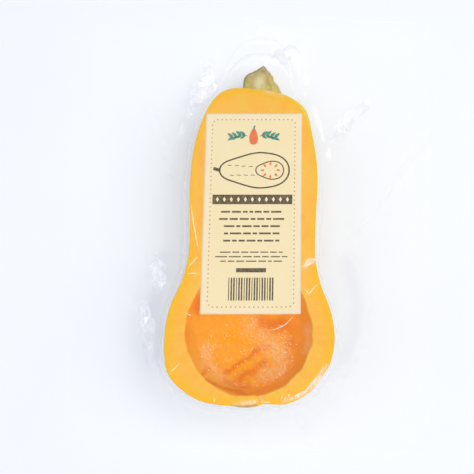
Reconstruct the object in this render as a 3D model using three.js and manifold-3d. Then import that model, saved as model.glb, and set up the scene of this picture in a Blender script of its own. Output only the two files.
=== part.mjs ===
// Half of a peeled butternut squash with its seeds scooped out, sealed in a clear vacuum pouch
// with a plain paper label.
// Millimetres, +Z up. +X runs across the squash and +Y from the blossom end to the stem.
// The origin is on the table, under the middle of the pouch's outline.
import * as THREE from "three";
import { mergeVertices } from "three/addons/utils/BufferGeometryUtils.js";
import Module from "manifold-3d";

// Driving dimensions of the squash half, measured in its cut face from the blossom end.
const FLESH_LENGTH = 230;
const BULB_HALF_WIDTH = 58.9;
const NECK_HALF_WIDTH = 46;
const DEPTH_SHARE = 0.97; // depth of the half over its half width
const PEEL_STROKES = 28; // flats that the peeler leaves round a whole squash
const SHOULDER_SLOPE = 0.09; // how the stem end leans across the axis
const TILT = THREE.MathUtils.degToRad(6.2); // the thinner neck sinks until it meets the table
const CUT_HEIGHT = 57.1; // of the cut face over the table, above the bulb's middle

// Scooped seed cavity.
const CAVITY_X = -0.8;
const CAVITY_Y = 51;
const CAVITY_RADIUS = 44.4;
const CAVITY_DEPTH = 28;
const CAVITY_NECK_STRETCH = 1.1; // the cavity runs a little into the neck

// Blossom scar.
const SCAR_X = 2.5;
const SCAR_RADIUS = 12.5;
const SCAR_PROUD = 0.5;

// Stem stub.
const STEM_X = 5.5;
const STEM_RADIUS = 14.7;
const STEM_LENGTH = 18;
const STEM_ROOT = 7; // sunk into the flesh
const STEM_AXIS_Z = -7.5;
const STEM_CUT_Z = -2.2; // the knife's face on the stem, below the cut face of the flesh
const STEM_RIBS = 5;

// Vacuum pouch: two sheets of clear film. The wall is a stand-in for film of about 0.1 mm.
const POUCH_WIDTH = 272;
const POUCH_LENGTH = 332;
const POUCH_CORNER = 9;
const FILM_WALL = 0.6;
const TOUCH_GAP = 0.35; // kept between pieces that touch
const FILM_STANDOFF = 1.8; // between the flesh and the back film
const TENT_SHIFT = 3; // of the film over the stem, to the stem's side
const SEAM_OUT = 4.5; // from the squash's outline to where the two sheets meet
const SEAM_DROP = 15; // of that seam below the cut face
const SEAM_GAP = 0.3; // half the gap between the two sheets
const DIP_Y = 37; // the film is drawn down into the open part of the cavity
const DIP_HALF_WIDTH = 37;
const DIP_HALF_LENGTH = 26;
const DIP_DEPTH = 21;
const SKIRT_EDGE = 6; // height of the pouch's edge over the table
const SKIRT_WAVE = 3.2;
const SKIRT_WAVES = 11;
const REST_RADIUS = 10; // flat spot under the bulb

// Paper label.
const LABEL_WIDTH = 70;
const LABEL_LENGTH = 146;
const LABEL_Y = 137;
const LABEL_WALL = 0.6;

const RAYS = 64; // directions round the film sheets

const wasm = await Module();
wasm.setup();

const smooth = THREE.MathUtils.smoothstep;
const lerp = THREE.MathUtils.lerp;

// Booleans

function solidFrom(geometry) {
  const bare = geometry.clone();
  bare.deleteAttribute("normal");
  bare.deleteAttribute("uv");
  const merged = mergeVertices(bare, 1e-3);
  return new wasm.Manifold(
    new wasm.Mesh({
      numProp: 3,
      vertProperties: new Float32Array(merged.attributes.position.array),
      triVerts: new Uint32Array(merged.index.array),
    }),
  );
}

function geometryFrom(solid) {
  const mesh = solid.getMesh();
  const geometry = new THREE.BufferGeometry();
  geometry.setAttribute("position", new THREE.BufferAttribute(mesh.vertProperties, 3));
  geometry.setIndex(new THREE.BufferAttribute(mesh.triVerts, 1));
  geometry.computeVertexNormals();
  return geometry;
}

function reshape(geometry, move) {
  const place = geometry.attributes.position;
  const point = new THREE.Vector3();
  for (let i = 0; i < place.count; i++) {
    point.fromBufferAttribute(place, i);
    move(point);
    place.setXYZ(i, point.x, point.y, point.z);
  }
  return geometry;
}

// Frame of the squash half: the cut face is its XY plane, with Y measured from the blossom end.

const half = new THREE.Group();
half.rotation.x = -TILT;
half.position.z = CUT_HEIGHT - CAVITY_Y * Math.sin(-TILT);
half.position.y = -129;
half.updateMatrix();
const toWorld = (x, y, z) => new THREE.Vector3(x, y, z).applyMatrix4(half.matrix);
const cavityMiddle = toWorld(CAVITY_X, CAVITY_Y, 0);

// Outline of the peeled flesh, as half width over the distance from the blossom end.

const fleshPoints = [
  [0, 0],
  [22, 1.3],
  [35, 5],
  [48, 14],
  [56, 26.5],
  [BULB_HALF_WIDTH, 47],
  [56, 67],
  [49, 85],
  [45, 105],
  [45.2, 127],
  [NECK_HALF_WIDTH, 150],
  [45, 175],
  [41, 197],
  [34, 215],
  [24, 226],
  [12, 229.6],
  [0, FLESH_LENGTH],
].map(([width, y]) => new THREE.Vector2(width, y));

// The pouch stands off the flesh and tents over the stem.
const coverPoints = [
  new THREE.Vector2(0, -FILM_STANDOFF),
  ...fleshPoints.slice(1, -3).map((p) => {
    const outward = (p.y - FLESH_LENGTH / 2) / FLESH_LENGTH;
    return new THREE.Vector2(p.x + FILM_STANDOFF, p.y + FILM_STANDOFF * outward);
  }),
  new THREE.Vector2(29, FLESH_LENGTH - 4),
  new THREE.Vector2(23, FLESH_LENGTH + 8),
  new THREE.Vector2(17, FLESH_LENGTH + 17),
  new THREE.Vector2(8.5, FLESH_LENGTH + 21.5),
  new THREE.Vector2(0, FLESH_LENGTH + 22),
];

const profileOf = (points, steps) =>
  new THREE.SplineCurve(points).getPoints(steps).map((p) => new THREE.Vector2(Math.max(p.x, 0), p.y));

// The axis wanders a little to one side at both ends, as a grown fruit's does.
function axisShift(y) {
  return -2.3 * (1 - smooth(y, 18, 48)) + TENT_SHIFT * smooth(y, FLESH_LENGTH - 4, FLESH_LENGTH + 10);
}

function squashHalf(stemRoot) {
  const profile = profileOf(fleshPoints, 44);
  const whole = new THREE.LatheGeometry(profile, PEEL_STROKES);
  reshape(whole, (p) => {
    p.z *= DEPTH_SHARE;
    p.x += axisShift(Math.min(p.y, FLESH_LENGTH - 5));
    p.y -= SHOULDER_SLOPE * (p.x + 7) * smooth(p.y, 205, FLESH_LENGTH);
  });
  const room = 4 * FLESH_LENGTH;
  const above = new THREE.BoxGeometry(room, room, room).translate(0, 0, room / 2);
  const table = new THREE.BoxGeometry(room, room, room);
  table.translate(0, 0, FILM_WALL + TOUCH_GAP - room / 2).applyMatrix4(half.matrix.clone().invert());
  return geometryFrom(
    solidFrom(whole)
      .add(solidFrom(blossomScar()))
      .subtract(solidFrom(above))
      .subtract(solidFrom(seedCavity()))
      .subtract(solidFrom(table))
      .subtract(stemRoot),
  );
}

// Corky disc where the flower sat, a little proud of the flesh.
function blossomScar() {
  const disc = [
    [0, -SCAR_PROUD],
    [0.7 * SCAR_RADIUS, -0.9 * SCAR_PROUD],
    [SCAR_RADIUS, 0.5],
    [SCAR_RADIUS, 4],
    [0, 4],
  ].map(([r, y]) => new THREE.Vector2(r, y));
  return new THREE.LatheGeometry(disc, 20).translate(SCAR_X, 0, 0);
}

// Bowl left by the spoon.
function seedCavity() {
  const bowl = [
    [0, -1],
    [0.36, -0.95],
    [0.64, -0.78],
    [0.83, -0.52],
    [0.95, -0.2],
    [1, 0],
    [1, 0.2],
    [0, 0.2],
  ].map(([r, z]) => new THREE.Vector2(r * CAVITY_RADIUS, z * CAVITY_DEPTH));
  const geometry = new THREE.LatheGeometry(bowl, 26).rotateX(Math.PI / 2);
  reshape(geometry, (p) => {
    if (p.y > 0) p.y *= CAVITY_NECK_STRETCH;
  });
  return geometry.translate(CAVITY_X, CAVITY_Y, 0);
}

// Ribbed woody stub, split by the same knife, with a ragged peak. grow widens it to a socket.
function stemSolid(grow) {
  const taper = [
    [0, -STEM_ROOT - grow],
    [0.98, -STEM_ROOT - grow],
    [1, 0],
    [0.9, 4],
    [0.76, 9],
    [0.6, 13],
    [0.38, 16],
    [0, STEM_LENGTH],
  ].map(([r, y]) => new THREE.Vector2(r * STEM_RADIUS + (r > 0 ? grow : 0), y));
  const stub = new THREE.LatheGeometry(taper, STEM_RIBS * 8);
  reshape(stub, (p) => {
    const turn = Math.atan2(p.x, p.z);
    const rib = 1 + 0.08 * Math.cos(STEM_RIBS * turn);
    p.x = p.x * rib + 0.06 * p.y;
    p.z *= rib;
  });
  stub.translate(STEM_X, FLESH_LENGTH - 4, STEM_AXIS_Z);
  const knife = new THREE.BoxGeometry(200, 200, 200).translate(0, 0, 100);
  knife.rotateX(-0.12).translate(STEM_X, FLESH_LENGTH, STEM_CUT_Z + grow);
  return solidFrom(stub).subtract(solidFrom(knife));
}

// Outline of the pouch's tent as (angle, radius) round the cavity's middle, for a ray in any direction.

function coverHalfWidth(y) {
  const steps = profileOf(coverPoints, 160);
  for (let i = 1; i < steps.length; i++) {
    if (y <= steps[i].y) {
      const share = (y - steps[i - 1].y) / Math.max(steps[i].y - steps[i - 1].y, 1e-6);
      return lerp(steps[i - 1].x, steps[i].x, THREE.MathUtils.clamp(share, 0, 1));
    }
  }
  return 0;
}

const coverRim = [1, -1]
  .flatMap((side) => profileOf(coverPoints, 160).map((p) => [side * p.x + axisShift(p.y), p.y]))
  .map(([x, y]) => {
    const dx = x - CAVITY_X;
    const dy = y - CAVITY_Y;
    return { turn: Math.atan2(dy, dx), reach: Math.hypot(dx, dy) };
  })
  .sort((a, b) => a.turn - b.turn);

function coverReach(turn) {
  const after = coverRim.findIndex((p) => p.turn >= turn);
  const b = coverRim[after === -1 ? 0 : after];
  const a = coverRim[(after <= 0 ? coverRim.length : after) - 1];
  const span = (b.turn - a.turn + 2 * Math.PI) % (2 * Math.PI);
  const share = span < 1e-9 ? 0 : ((turn - a.turn + 2 * Math.PI) % (2 * Math.PI)) / span;
  return lerp(a.reach, b.reach, share);
}

// Rays spaced evenly along a ring between the squash and the pouch's edge.
function rayTurns() {
  const ring = [];
  for (let i = 0; i <= 2000; i++) {
    const turn = -Math.PI + (i / 2000) * 2 * Math.PI;
    const reach = coverReach(turn) + 30;
    ring.push(new THREE.Vector2(Math.cos(turn) * reach, Math.sin(turn) * reach));
  }
  const along = [0];
  for (let i = 1; i < ring.length; i++) along.push(along[i - 1] + ring[i].distanceTo(ring[i - 1]));
  const turns = [];
  for (let k = 0; k < RAYS; k++) {
    const want = (along.at(-1) * k) / RAYS;
    const at = along.findIndex((length) => length >= want);
    turns.push(Math.atan2(ring[at].y, ring[at].x));
  }
  // One ray runs to each corner of the pouch.
  for (const [x, y] of [[1, 1], [-1, 1], [-1, -1], [1, -1]]) {
    const up = (y * POUCH_LENGTH) / 2 - cavityMiddle.y;
    const corner = Math.atan2(up, (x * POUCH_WIDTH) / 2 - cavityMiddle.x);
    const near = turns.map((turn) => Math.abs(turn - corner));
    turns[near.indexOf(Math.min(...near))] = corner;
  }
  return turns;
}

const turns = rayTurns();

// Where a ray from the middle over the cavity leaves the pouch's rounded rectangle.
function pouchEdge(from, towards) {
  const dx = towards.x - from.x;
  const dy = towards.y - from.y;
  const halfWidth = POUCH_WIDTH / 2;
  const halfLength = POUCH_LENGTH / 2;
  const share = Math.min(
    ((dx > 0 ? halfWidth : -halfWidth) - from.x) / dx,
    ((dy > 0 ? halfLength : -halfLength) - from.y) / dy,
  );
  const hit = new THREE.Vector2(from.x + dx * share, from.y + dy * share);
  const inX = halfWidth - Math.abs(hit.x);
  const inY = halfLength - Math.abs(hit.y);
  const corner = Math.max(0, 1 - Math.max(inX, inY) / (3 * POUCH_CORNER));
  return hit.multiplyScalar(1 - (corner * corner * POUCH_CORNER) / 250);
}

// How far the front film is drawn into the cavity.
function filmDip(x, y) {
  const r = Math.hypot((x - CAVITY_X) / DIP_HALF_WIDTH, (y - DIP_Y) / DIP_HALF_LENGTH);
  return r >= 1 ? 0 : DIP_DEPTH * (1 - r * r) ** 1.8;
}

// Depth of the back film below the cut face.
function pocketDepth(x, y) {
  const width = coverHalfWidth(y);
  const across = x - axisShift(y);
  return DEPTH_SHARE * Math.sqrt(Math.max(width * width - across * across, 0));
}

// Doubled film from the seam out to the pouch's edge, falling to the table in soft waves.
function skirt(index, seam) {
  const edge = pouchEdge(cavityMiddle, seam);
  const phase = index / RAYS;
  const drift = 2.1 * Math.sin(2 * Math.PI * 3 * phase);
  const wave = SKIRT_WAVE * Math.sin(2 * Math.PI * SKIRT_WAVES * phase + drift);
  return [0.18, 0.42, 0.68, 0.86, 1].map((share) => {
    const fall = (1 - share) ** 1.6;
    const height = lerp(SKIRT_EDGE, seam.z, fall) + wave * share * (1.35 - fall);
    return new THREE.Vector3(lerp(seam.x, edge.x, share), lerp(seam.y, edge.y, share), height);
  });
}

// A sheet of film from rings of points: its face, the same face moved by its wall, and the edge between.
function sheetGeometry(middle, rings, wall) {
  const face = [middle, ...rings.flat()];
  const triangles = [];
  for (let i = 0; i < RAYS; i++) {
    const next = (i + 1) % RAYS;
    triangles.push([0, 1 + i, 1 + next]);
    for (let r = 0; r + 1 < rings.length; r++) {
      const a = 1 + r * RAYS;
      const b = a + RAYS;
      triangles.push([a + i, b + i, b + next], [a + i, b + next, a + next]);
    }
  }
  const plain = new THREE.BufferGeometry().setFromPoints(face);
  plain.setIndex(triangles.flat());
  plain.computeVertexNormals();
  const normal = plain.attributes.normal;
  const moved = face.map((p, i) => {
    const q = new THREE.Vector3().fromBufferAttribute(normal, i).multiplyScalar(wall).add(p);
    if (wall < 0) {
      q.z = Math.max(q.z, 0);
      p.z = Math.max(p.z, q.z + 0.5 * FILM_WALL, FILM_WALL);
    }
    return q;
  });
  const count = face.length;
  const turned = triangles.map(([a, b, c]) => [a, c, b]);
  const [upper, lower] = wall > 0 ? [moved, face] : [face, moved];
  const index = [...triangles, ...turned.map((t) => t.map((k) => k + count))];
  const rim = 1 + (rings.length - 1) * RAYS;
  for (let i = 0; i < RAYS; i++) {
    const a = rim + i;
    const b = rim + ((i + 1) % RAYS);
    index.push([a, a + count, b + count], [a, b + count, b]);
  }
  const shell = new THREE.BufferGeometry().setFromPoints([...upper, ...lower]);
  shell.setIndex(index.flat());
  shell.computeVertexNormals();
  return shell;
}

function rayPoint(index, reach, z) {
  const x = CAVITY_X + Math.cos(turns[index]) * reach;
  const y = CAVITY_Y + Math.sin(turns[index]) * reach;
  return { x, y, z: typeof z === "function" ? z(x, y) : z };
}

const ringAt = (reachOf, z) =>
  turns.map((turn, i) => {
    const p = rayPoint(i, reachOf(coverReach(turn)), z);
    return toWorld(p.x, p.y, p.z);
  });

const seamRing = (lift) => ringAt((rim) => rim + SEAM_OUT, -SEAM_DROP).map((p) => p.setZ(p.z + lift));

function skirtRings(lift) {
  const runs = seamRing(0).map((seam, i) => skirt(i, seam));
  return runs[0].map((_, r) => runs.map((run) => run[r].clone().setZ(run[r].z + lift)));
}

function frontFilm() {
  const overCut = (x, y) => TOUCH_GAP - filmDip(x, y);
  const inner = 1.03 * CAVITY_RADIUS;
  const rings = [
    ...[0.2, 0.4, 0.6, 0.8, 0.93].map((share) => ringAt(() => share * CAVITY_RADIUS, overCut)),
    ...[0, 0.4, 0.75, 1].map((share) => ringAt((rim) => lerp(inner, rim, share), overCut)),
    ringAt((rim) => rim + 1.5, -4),
    seamRing(SEAM_GAP),
    ...skirtRings(SEAM_GAP),
  ];
  const middle = toWorld(CAVITY_X, CAVITY_Y, overCut(CAVITY_X, CAVITY_Y));
  return sheetGeometry(middle, rings, FILM_WALL);
}

function backFilm() {
  const under = (x, y) => -Math.max(pocketDepth(x, y), SEAM_DROP + 1);
  const round = 2.7 * REST_RADIUS;
  const rings = [
    ...[1, 1.8, 2.7].map((times) => ringAt(() => times * REST_RADIUS, under)),
    ...[0.16, 0.33, 0.5, 0.66, 0.8, 0.91, 0.98].map((share) =>
      ringAt((rim) => lerp(round, rim, share), under),
    ),
    seamRing(-SEAM_GAP),
    ...skirtRings(-SEAM_GAP),
  ];
  const middle = toWorld(CAVITY_X, CAVITY_Y, under(CAVITY_X, CAVITY_Y));
  return sheetGeometry(middle, rings, -FILM_WALL);
}

function labelSheet() {
  const z = 2 * TOUCH_GAP + FILM_WALL + LABEL_WALL / 2;
  return new THREE.BoxGeometry(LABEL_WIDTH, LABEL_LENGTH, LABEL_WALL).translate(0, LABEL_Y, z);
}

const finish = (color, roughness, extra = {}) =>
  new THREE.MeshStandardMaterial({ color, roughness, metalness: 0, ...extra });
const flesh = finish("#f7ae45", 0.5);
const wood = finish("#b0a062", 0.75);
const film = finish("#f2f6fa", 0.12, { transparent: true, opacity: 0.22 });
const paper = finish("#f0e2b8", 0.6);

function named(name, geometry, material) {
  const mesh = new THREE.Mesh(geometry, material);
  mesh.name = name;
  return mesh;
}

half.add(
  named("squash_half", squashHalf(stemSolid(TOUCH_GAP)), flesh),
  named("stem", geometryFrom(stemSolid(0)), wood),
  named("label", labelSheet(), paper),
);

const pack = new THREE.Group();
pack.name = "packed_squash_half";
pack.add(half, named("front_film", frontFilm(), film), named("back_film", backFilm(), film));

export default pack;
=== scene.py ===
"""Dresses a vacuum-packed butternut squash half over its fixed frame.

Lengths are in metres, unless a comment says mm. The cut frame has its origin in the cut face, near the
middle of the seed cavity: x runs across the squash, y towards the stem and z out of the flesh.
"""

import math
import random

import bpy
import numpy as np
from mathutils import Matrix, Vector, noise
from mathutils.bvhtree import BVHTree


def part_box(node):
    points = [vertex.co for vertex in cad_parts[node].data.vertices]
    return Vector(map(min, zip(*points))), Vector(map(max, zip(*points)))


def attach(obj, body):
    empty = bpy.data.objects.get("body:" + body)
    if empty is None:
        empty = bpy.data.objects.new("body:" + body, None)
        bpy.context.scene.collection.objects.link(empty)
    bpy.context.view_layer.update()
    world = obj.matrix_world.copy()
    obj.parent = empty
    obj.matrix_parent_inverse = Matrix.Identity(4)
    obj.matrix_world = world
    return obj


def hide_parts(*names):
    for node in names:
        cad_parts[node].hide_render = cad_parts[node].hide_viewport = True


bl_info = {
    "name": "Packed Squash Half",
    "version": (1, 0, 0),
    "blender": (4, 5, 0),
    "location": "View3D > Sidebar > Squash",
    "description": "Builds the visual pieces of a vacuum-packed butternut squash half",
    "category": "Object",
}

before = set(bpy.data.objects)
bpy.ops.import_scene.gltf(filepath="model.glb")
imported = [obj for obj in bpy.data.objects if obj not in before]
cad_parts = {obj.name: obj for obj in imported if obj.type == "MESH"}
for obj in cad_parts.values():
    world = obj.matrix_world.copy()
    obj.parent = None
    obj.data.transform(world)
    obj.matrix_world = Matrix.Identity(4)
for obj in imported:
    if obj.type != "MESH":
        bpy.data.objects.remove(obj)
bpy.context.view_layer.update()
MM = 0.001
FLESH_RAYS = 600  # directions round the squash in which the flesh is sampled
FILM_RAYS = 400
BLUR_RAYS = 400  # directions for which the widths of blurs along an outline are given
FAR = 0.5  # longer than any reach inside the object
CAMERA_AT = Vector((-7.5, -71.7, 636.6)) * MM
CAMERA_AIM = Vector((-10.6, -7.0, 0.0)) * MM


def linear(hex_colour):
    """An sRGB hex colour as linear RGBA."""
    parts = [int(hex_colour[i : i + 2], 16) / 255 for i in (1, 3, 5)]
    return (*(p / 12.92 if p <= 0.04045 else ((p + 0.055) / 1.055) ** 2.4 for p in parts), 1.0)


def colour_property(hex_colour, name, description):
    colour = linear(hex_colour)
    return bpy.props.FloatVectorProperty(
        name=name, description=description, subtype="COLOR", size=4, min=0, max=1, default=colour
    )


def number_property(default, name, description, **settings):
    return bpy.props.FloatProperty(name=name, description=description, default=default, **settings)


def length_property(millimetres, name, description):
    return number_property(millimetres * MM, name, description, unit="LENGTH", precision=5)


class FleshLooks(bpy.types.PropertyGroup):
    """Peeled flesh, cavity, scar and stem"""

    cut: colour_property("#f5c24c", "Cut face", "Flesh on the knife's cut")
    edge: colour_property("#f6be1c", "Edge", "Yellower flesh just under the peel")
    hollow: colour_property("#fca51e", "Cavity", "Scooped flesh in the light")
    deep: colour_property("#ea7c04", "Deep cavity", "Wet scooped flesh, pressed by the film")
    pulp: colour_property("#ffae62", "Pulp", "Stringy pulp left in the cavity")
    outside: colour_property("#f6ac22", "Outside", "Peeled back of the half")
    scar: colour_property("#fbe8c6", "Blossom scar", "Corky end where the flower sat")
    stem: colour_property("#d0bb78", "Stem", "Olive bark of the stub")
    stem_cut: colour_property("#dcd0a2", "Stem cut", "Pale wood where the knife split the stub")
    rim: length_property(0.8, "Rim", "Rounding of the knife's edges")
    scoop: length_property(0.8, "Scoop marks", "Height of the spoon's ridges in the cavity")


class PouchLooks(bpy.types.PropertyGroup):
    """Clear vacuum film"""

    cling: length_property(0.5, "Cling", "Distance of the film from the flesh")
    pleat: length_property(1.2, "Pleats", "Height of the folds round the squash")
    crumple: length_property(0.8, "Crumple", "Height of the creases in the margin")
    shard: length_property(2.4, "Shards", "Height of the creases in whitened film")
    seal: length_property(8.0, "Seal", "Width of the heat seal along the edge")
    crease: length_property(0.42, "Crease", "Half width of a fold in the film over the flesh")
    drop_small: length_property(0.24, "Smallest drop", "Radius of the smallest drop under the film")
    drop_large: length_property(0.5, "Largest drop", "Radius of the largest drop under the film")


class LabelLooks(bpy.types.PropertyGroup):
    """Paper label with a plain print"""

    paper: colour_property("#f1dfb3", "Paper", "Cream paper inside the border")
    margin: colour_property("#f2e1bf", "Margin", "Paper outside the border")
    brown: colour_property("#43341f", "Brown ink", "Main ink")
    tan: colour_property("#b98549", "Border ink", "Dots of the border")
    green: colour_property("#2f8272", "Green ink", "Leaves of the motif")
    coral: colour_property("#dd6a35", "Coral ink", "Squash of the motif")
    wall: length_property(0.12, "Wall", "Thickness of the paper")
    inset: length_property(5.0, "Inset", "Border's distance from the paper's edge")
    dot: length_property(1.0, "Dot", "Diameter of a border dot")
    dot_step: length_property(3.2, "Dot spacing", "Distance between border dots")


class StageLooks(bpy.types.PropertyGroup):
    """Floor, light and camera"""

    floor: colour_property("#f7f9fb", "Floor", "Pale table")
    sky: colour_property("#e9f1ff", "Sky", "Colour of the soft light from all round")
    sky_strength: number_property(0.35, "Sky strength", "Soft light from all round")
    fill: colour_property("#e4edff", "Fill colour", "Cool light in the shadow on the left")
    key_power: number_property(14.2, "Key power", "Lamp on the right", unit="POWER")
    roof_power: number_property(14.4, "Roof power", "Lamp overhead", unit="POWER")
    key: colour_property("#fff5e8", "Key colour", "Warm light from the right")
    fill_power: number_property(6.3, "Fill power", "Lamp on the left", unit="POWER")
    strip_power: number_property(0.8, "Strip power", "Small low lamp at its full share", unit="POWER")
    lens: number_property(63.3, "Lens", "Focal length in millimetres", unit="CAMERA")
    roll: number_property(math.radians(1.44), "Roll", "Turn of the camera about its view", subtype="ANGLE")


# Frame, sampling and mesh helpers


def search_tree(mesh, place):
    """Search tree of a mesh in the frame of a matrix."""
    inverse = place.inverted()
    points = [inverse @ v.co for v in mesh.vertices]
    return BVHTree.FromPolygons(points, [face.vertices[:] for face in mesh.polygons])


def tree_in(node, place):
    """Search tree of a CAD node in the frame of a matrix."""
    return search_tree(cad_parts[node].data, place)


ORIGIN_DOWN = 1.7 * MM  # of the cut frame from the cavity's middle, towards the blossom end
PROBE_ALONG = 0.2  # how far from the largest facet the cavity is looked for, along the squash
PROBE_ACROSS = 0.07
PROBE_STEP = 2 * MM
PROBE_DEPTH = 3 * MM  # least depth that counts as cavity


def cut_frame():
    """Matrix of the cut frame, read from the CAD flesh: its largest facet lies in the cut face."""
    widest = max(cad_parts["squash_half"].data.polygons, key=lambda face: face.area)
    up = widest.normal.normalized()
    across = Vector((1, 0, 0))
    turn = Matrix((across, up.cross(across), up)).transposed().to_4x4()
    flat = Matrix.Translation(widest.center) @ turn
    tree = tree_in("squash_half", flat)
    steps = np.arange(-PROBE_ALONG, PROBE_ALONG, PROBE_STEP)
    deep = []
    for x in steps[np.abs(steps) < PROBE_ACROSS]:
        for y in steps:
            hit = tree.ray_cast(Vector((x, y, MM)), Vector((0, 0, -1)))[0]
            if hit and hit.z < -PROBE_DEPTH and tree.ray_cast(Vector((x, y, -MM)), Vector((0, 1, 0)))[0]:
                deep.append((x, y))
    middle = np.mean(deep, axis=0)
    return flat @ Matrix.Translation((middle[0], middle[1] - ORIGIN_DOWN, 0))


CUT = cut_frame()
EYE = CUT.inverted() @ CAMERA_AT  # the camera's place in the cut frame


def to_world(points):
    """Points of the cut frame in the object's frame."""
    turn = np.array(CUT.to_3x3())
    return np.asarray(points) @ turn.T + np.array(CUT.translation)


def to_cut(points):
    """Points of the object's frame in the cut frame."""
    turn = np.array(CUT.to_3x3())
    return (np.asarray(points) - np.array(CUT.translation)) @ turn


def over_cut_face(points):
    """Where lines from the camera's place to points of the cut frame cross the cut face."""
    eye = np.array(EYE)
    share = eye[2] / (eye[2] - points[..., 2:])
    return (eye + (points - eye) * share)[..., :2]


def smooth(values, low, high):
    share = np.clip((np.asarray(values, float) - low) / (high - low), 0, 1)
    return share * share * (3 - 2 * share)


def soften(values, width, axis=0, wrap=True):
    """Gaussian blur along an axis, with its spread in samples."""
    reach = int(3 * width) + 1
    kernel = np.exp(-0.5 * (np.arange(-reach, reach + 1) / width) ** 2)
    kernel /= kernel.sum()
    pad = [(0, 0)] * np.ndim(values)
    pad[axis] = (reach, reach)
    padded = np.pad(values, pad, mode="wrap" if wrap else "edge")
    return np.apply_along_axis(lambda row: np.convolve(row, kernel, "valid"), axis, padded)


def soften_rings(values, around, outward):
    """Gaussian blur of values on rings, round each ring and then from ring to ring."""
    return soften(soften(values, around, 1), outward, 0, wrap=False)


def even_turns(reach_of, count):
    """Angles whose rays meet a ring at even steps along it."""
    fine = np.linspace(-math.pi, math.pi, 8 * 360 + 1)
    reach = reach_of(fine)
    x = np.cos(fine) * reach
    y = np.sin(fine) * reach
    along = np.concatenate([[0], np.cumsum(np.hypot(np.diff(x), np.diff(y)))])
    return np.interp(np.arange(count) / count * along[-1], along, fine)


def reach(tree, turns, z, inward):
    """Distance from the cut frame's z axis to a wall at height z, along each ray."""
    found = []
    for turn in turns:
        way = Vector((math.cos(turn), math.sin(turn), 0))
        start = way * (FAR if inward else 0) + Vector((0, 0, z))
        hit = tree.ray_cast(start, -way if inward else way)[0]
        if hit is None:
            raise RuntimeError(f"no wall at {math.degrees(turn):.0f} degrees")
        found.append(hit.xy.length)
    return np.array(found)


def heights(tree, x, y, from_above, fallback):
    """Height of a surface over each point, seen from above or from below."""
    start = FAR if from_above else -FAR
    way = Vector((0, 0, -1 if from_above else 1))
    found = np.array(fallback, float) * np.ones_like(x)
    for place in np.ndindex(x.shape):
        hit = tree.ray_cast(Vector((x[place], y[place], start)), way)[0]
        if hit:
            found[place] = hit.z
    return found


def on_plane(x, y):
    """Points of a plane from their places in it."""
    return np.stack([x, y, np.zeros_like(x)], axis=-1)


def grain(points, size, seed, octaves=2):
    """Smooth noise between -1 and 1 whose features have about the given size."""
    offset = Vector((17.3 * seed, 5.1 * seed, 9.7 * seed))
    flat = np.reshape(points, (-1, 3)) / size
    kind = {"noise_basis": "PERLIN_ORIGINAL"}
    made = [noise.fractal(Vector(p) + offset, 0.8, 2.0, octaves, **kind) for p in flat]
    return np.reshape(made, np.shape(points)[:-1])


def creases(points, size, seed):
    """Crumpled facets between 0 and 1, with sharp ridges where they meet."""
    offset = Vector((11.9 * seed, 3.7 * seed, 6.1 * seed))
    flat = np.reshape(points, (-1, 3)) / size
    made = [min(noise.voronoi(Vector(p) + offset)[0][0], 1) for p in flat]
    return np.reshape(made, np.shape(points)[:-1])


FACET_KNOTS = 64  # random heights along each side of a crumpled sheet, after which they repeat
FACET_ROW = 0.87  # height of an even triangle


def facets(x, y, size, seed):
    """Height of a crumpled sheet, between -1 and 1: flat triangles that meet at sharp ridges."""
    knots = np.random.default_rng(seed).uniform(-1, 1, (FACET_KNOTS, FACET_KNOTS))
    flat = on_plane(x, y)
    u = (x + 0.5 * y) / size + 0.5 * grain(flat, 1.5 * size, seed)
    v = FACET_ROW * y / size + 0.5 * grain(flat, 1.5 * size, seed + 1)
    i = np.floor(u).astype(int)
    j = np.floor(v).astype(int)
    u = u - i
    v = v - j
    a, b, c, d = (knots[(i + k) % FACET_KNOTS, (j + m) % FACET_KNOTS] for m in (0, 1) for k in (0, 1))
    return np.where(u + v < 1, a + u * (b - a) + v * (c - a), d + (1 - u) * (c - d) + (1 - v) * (b - d))


def spot(x, y, at, size, turn=0.0):
    """A soft patch between 0 and 1 round a place in the cut frame, in millimetres."""
    c = math.cos(math.radians(turn))
    s = math.sin(math.radians(turn))
    dx = np.asarray(x) / MM - at[0]
    dy = np.asarray(y) / MM - at[1]
    return np.exp(-(((c * dx + s * dy) / size[0]) ** 2) - ((c * dy - s * dx) / size[1]) ** 2)


def streak(x, y, path, width):
    """A soft line between 0 and 1 along a path in the cut frame, in millimetres."""
    made = np.zeros_like(np.asarray(x, float))
    for start, end in zip(path, path[1:]):
        run = np.subtract(end, start)
        dx = np.asarray(x) / MM - start[0]
        dy = np.asarray(y) / MM - start[1]
        share = np.clip((dx * run[0] + dy * run[1]) / (run @ run), 0, 1)
        off = np.hypot(dx - share * run[0], dy - share * run[1])
        made = np.maximum(made, np.exp(-((off / width) ** 2)))
    return made


def new_object(name, points, faces, material=None, edges=()):
    mesh = bpy.data.meshes.new(name)
    mesh.from_pydata([tuple(p) for p in points], edges, faces)
    if material:
        mesh.materials.append(material)
    mesh.update()
    if len(faces):
        mesh.shade_smooth()
    made = bpy.data.objects.new(name, mesh)
    bpy.context.scene.collection.objects.link(made)
    return made


def ring_faces(rings, count):
    """Faces of a closed surface: a point, rings of points and a last point."""
    faces = []
    for r in range(rings - 1):
        a = 1 + r * count
        b = a + count
        for i in range(count):
            j = (i + 1) % count
            faces.append((a + i, b + i, b + j, a + j))
    last = 1 + (rings - 1) * count
    for i in range(count):
        j = (i + 1) % count
        faces.append((0, 1 + i, 1 + j))
        faces.append((last + count, last + j, last + i))
    return faces


def grid_faces(rows, columns):
    """Faces between the points of a grid, which are listed row by row."""
    corners = [r * columns + c for r in range(rows - 1) for c in range(columns - 1)]
    return [(a, a + 1, a + columns + 1, a + columns) for a in corners]


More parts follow.
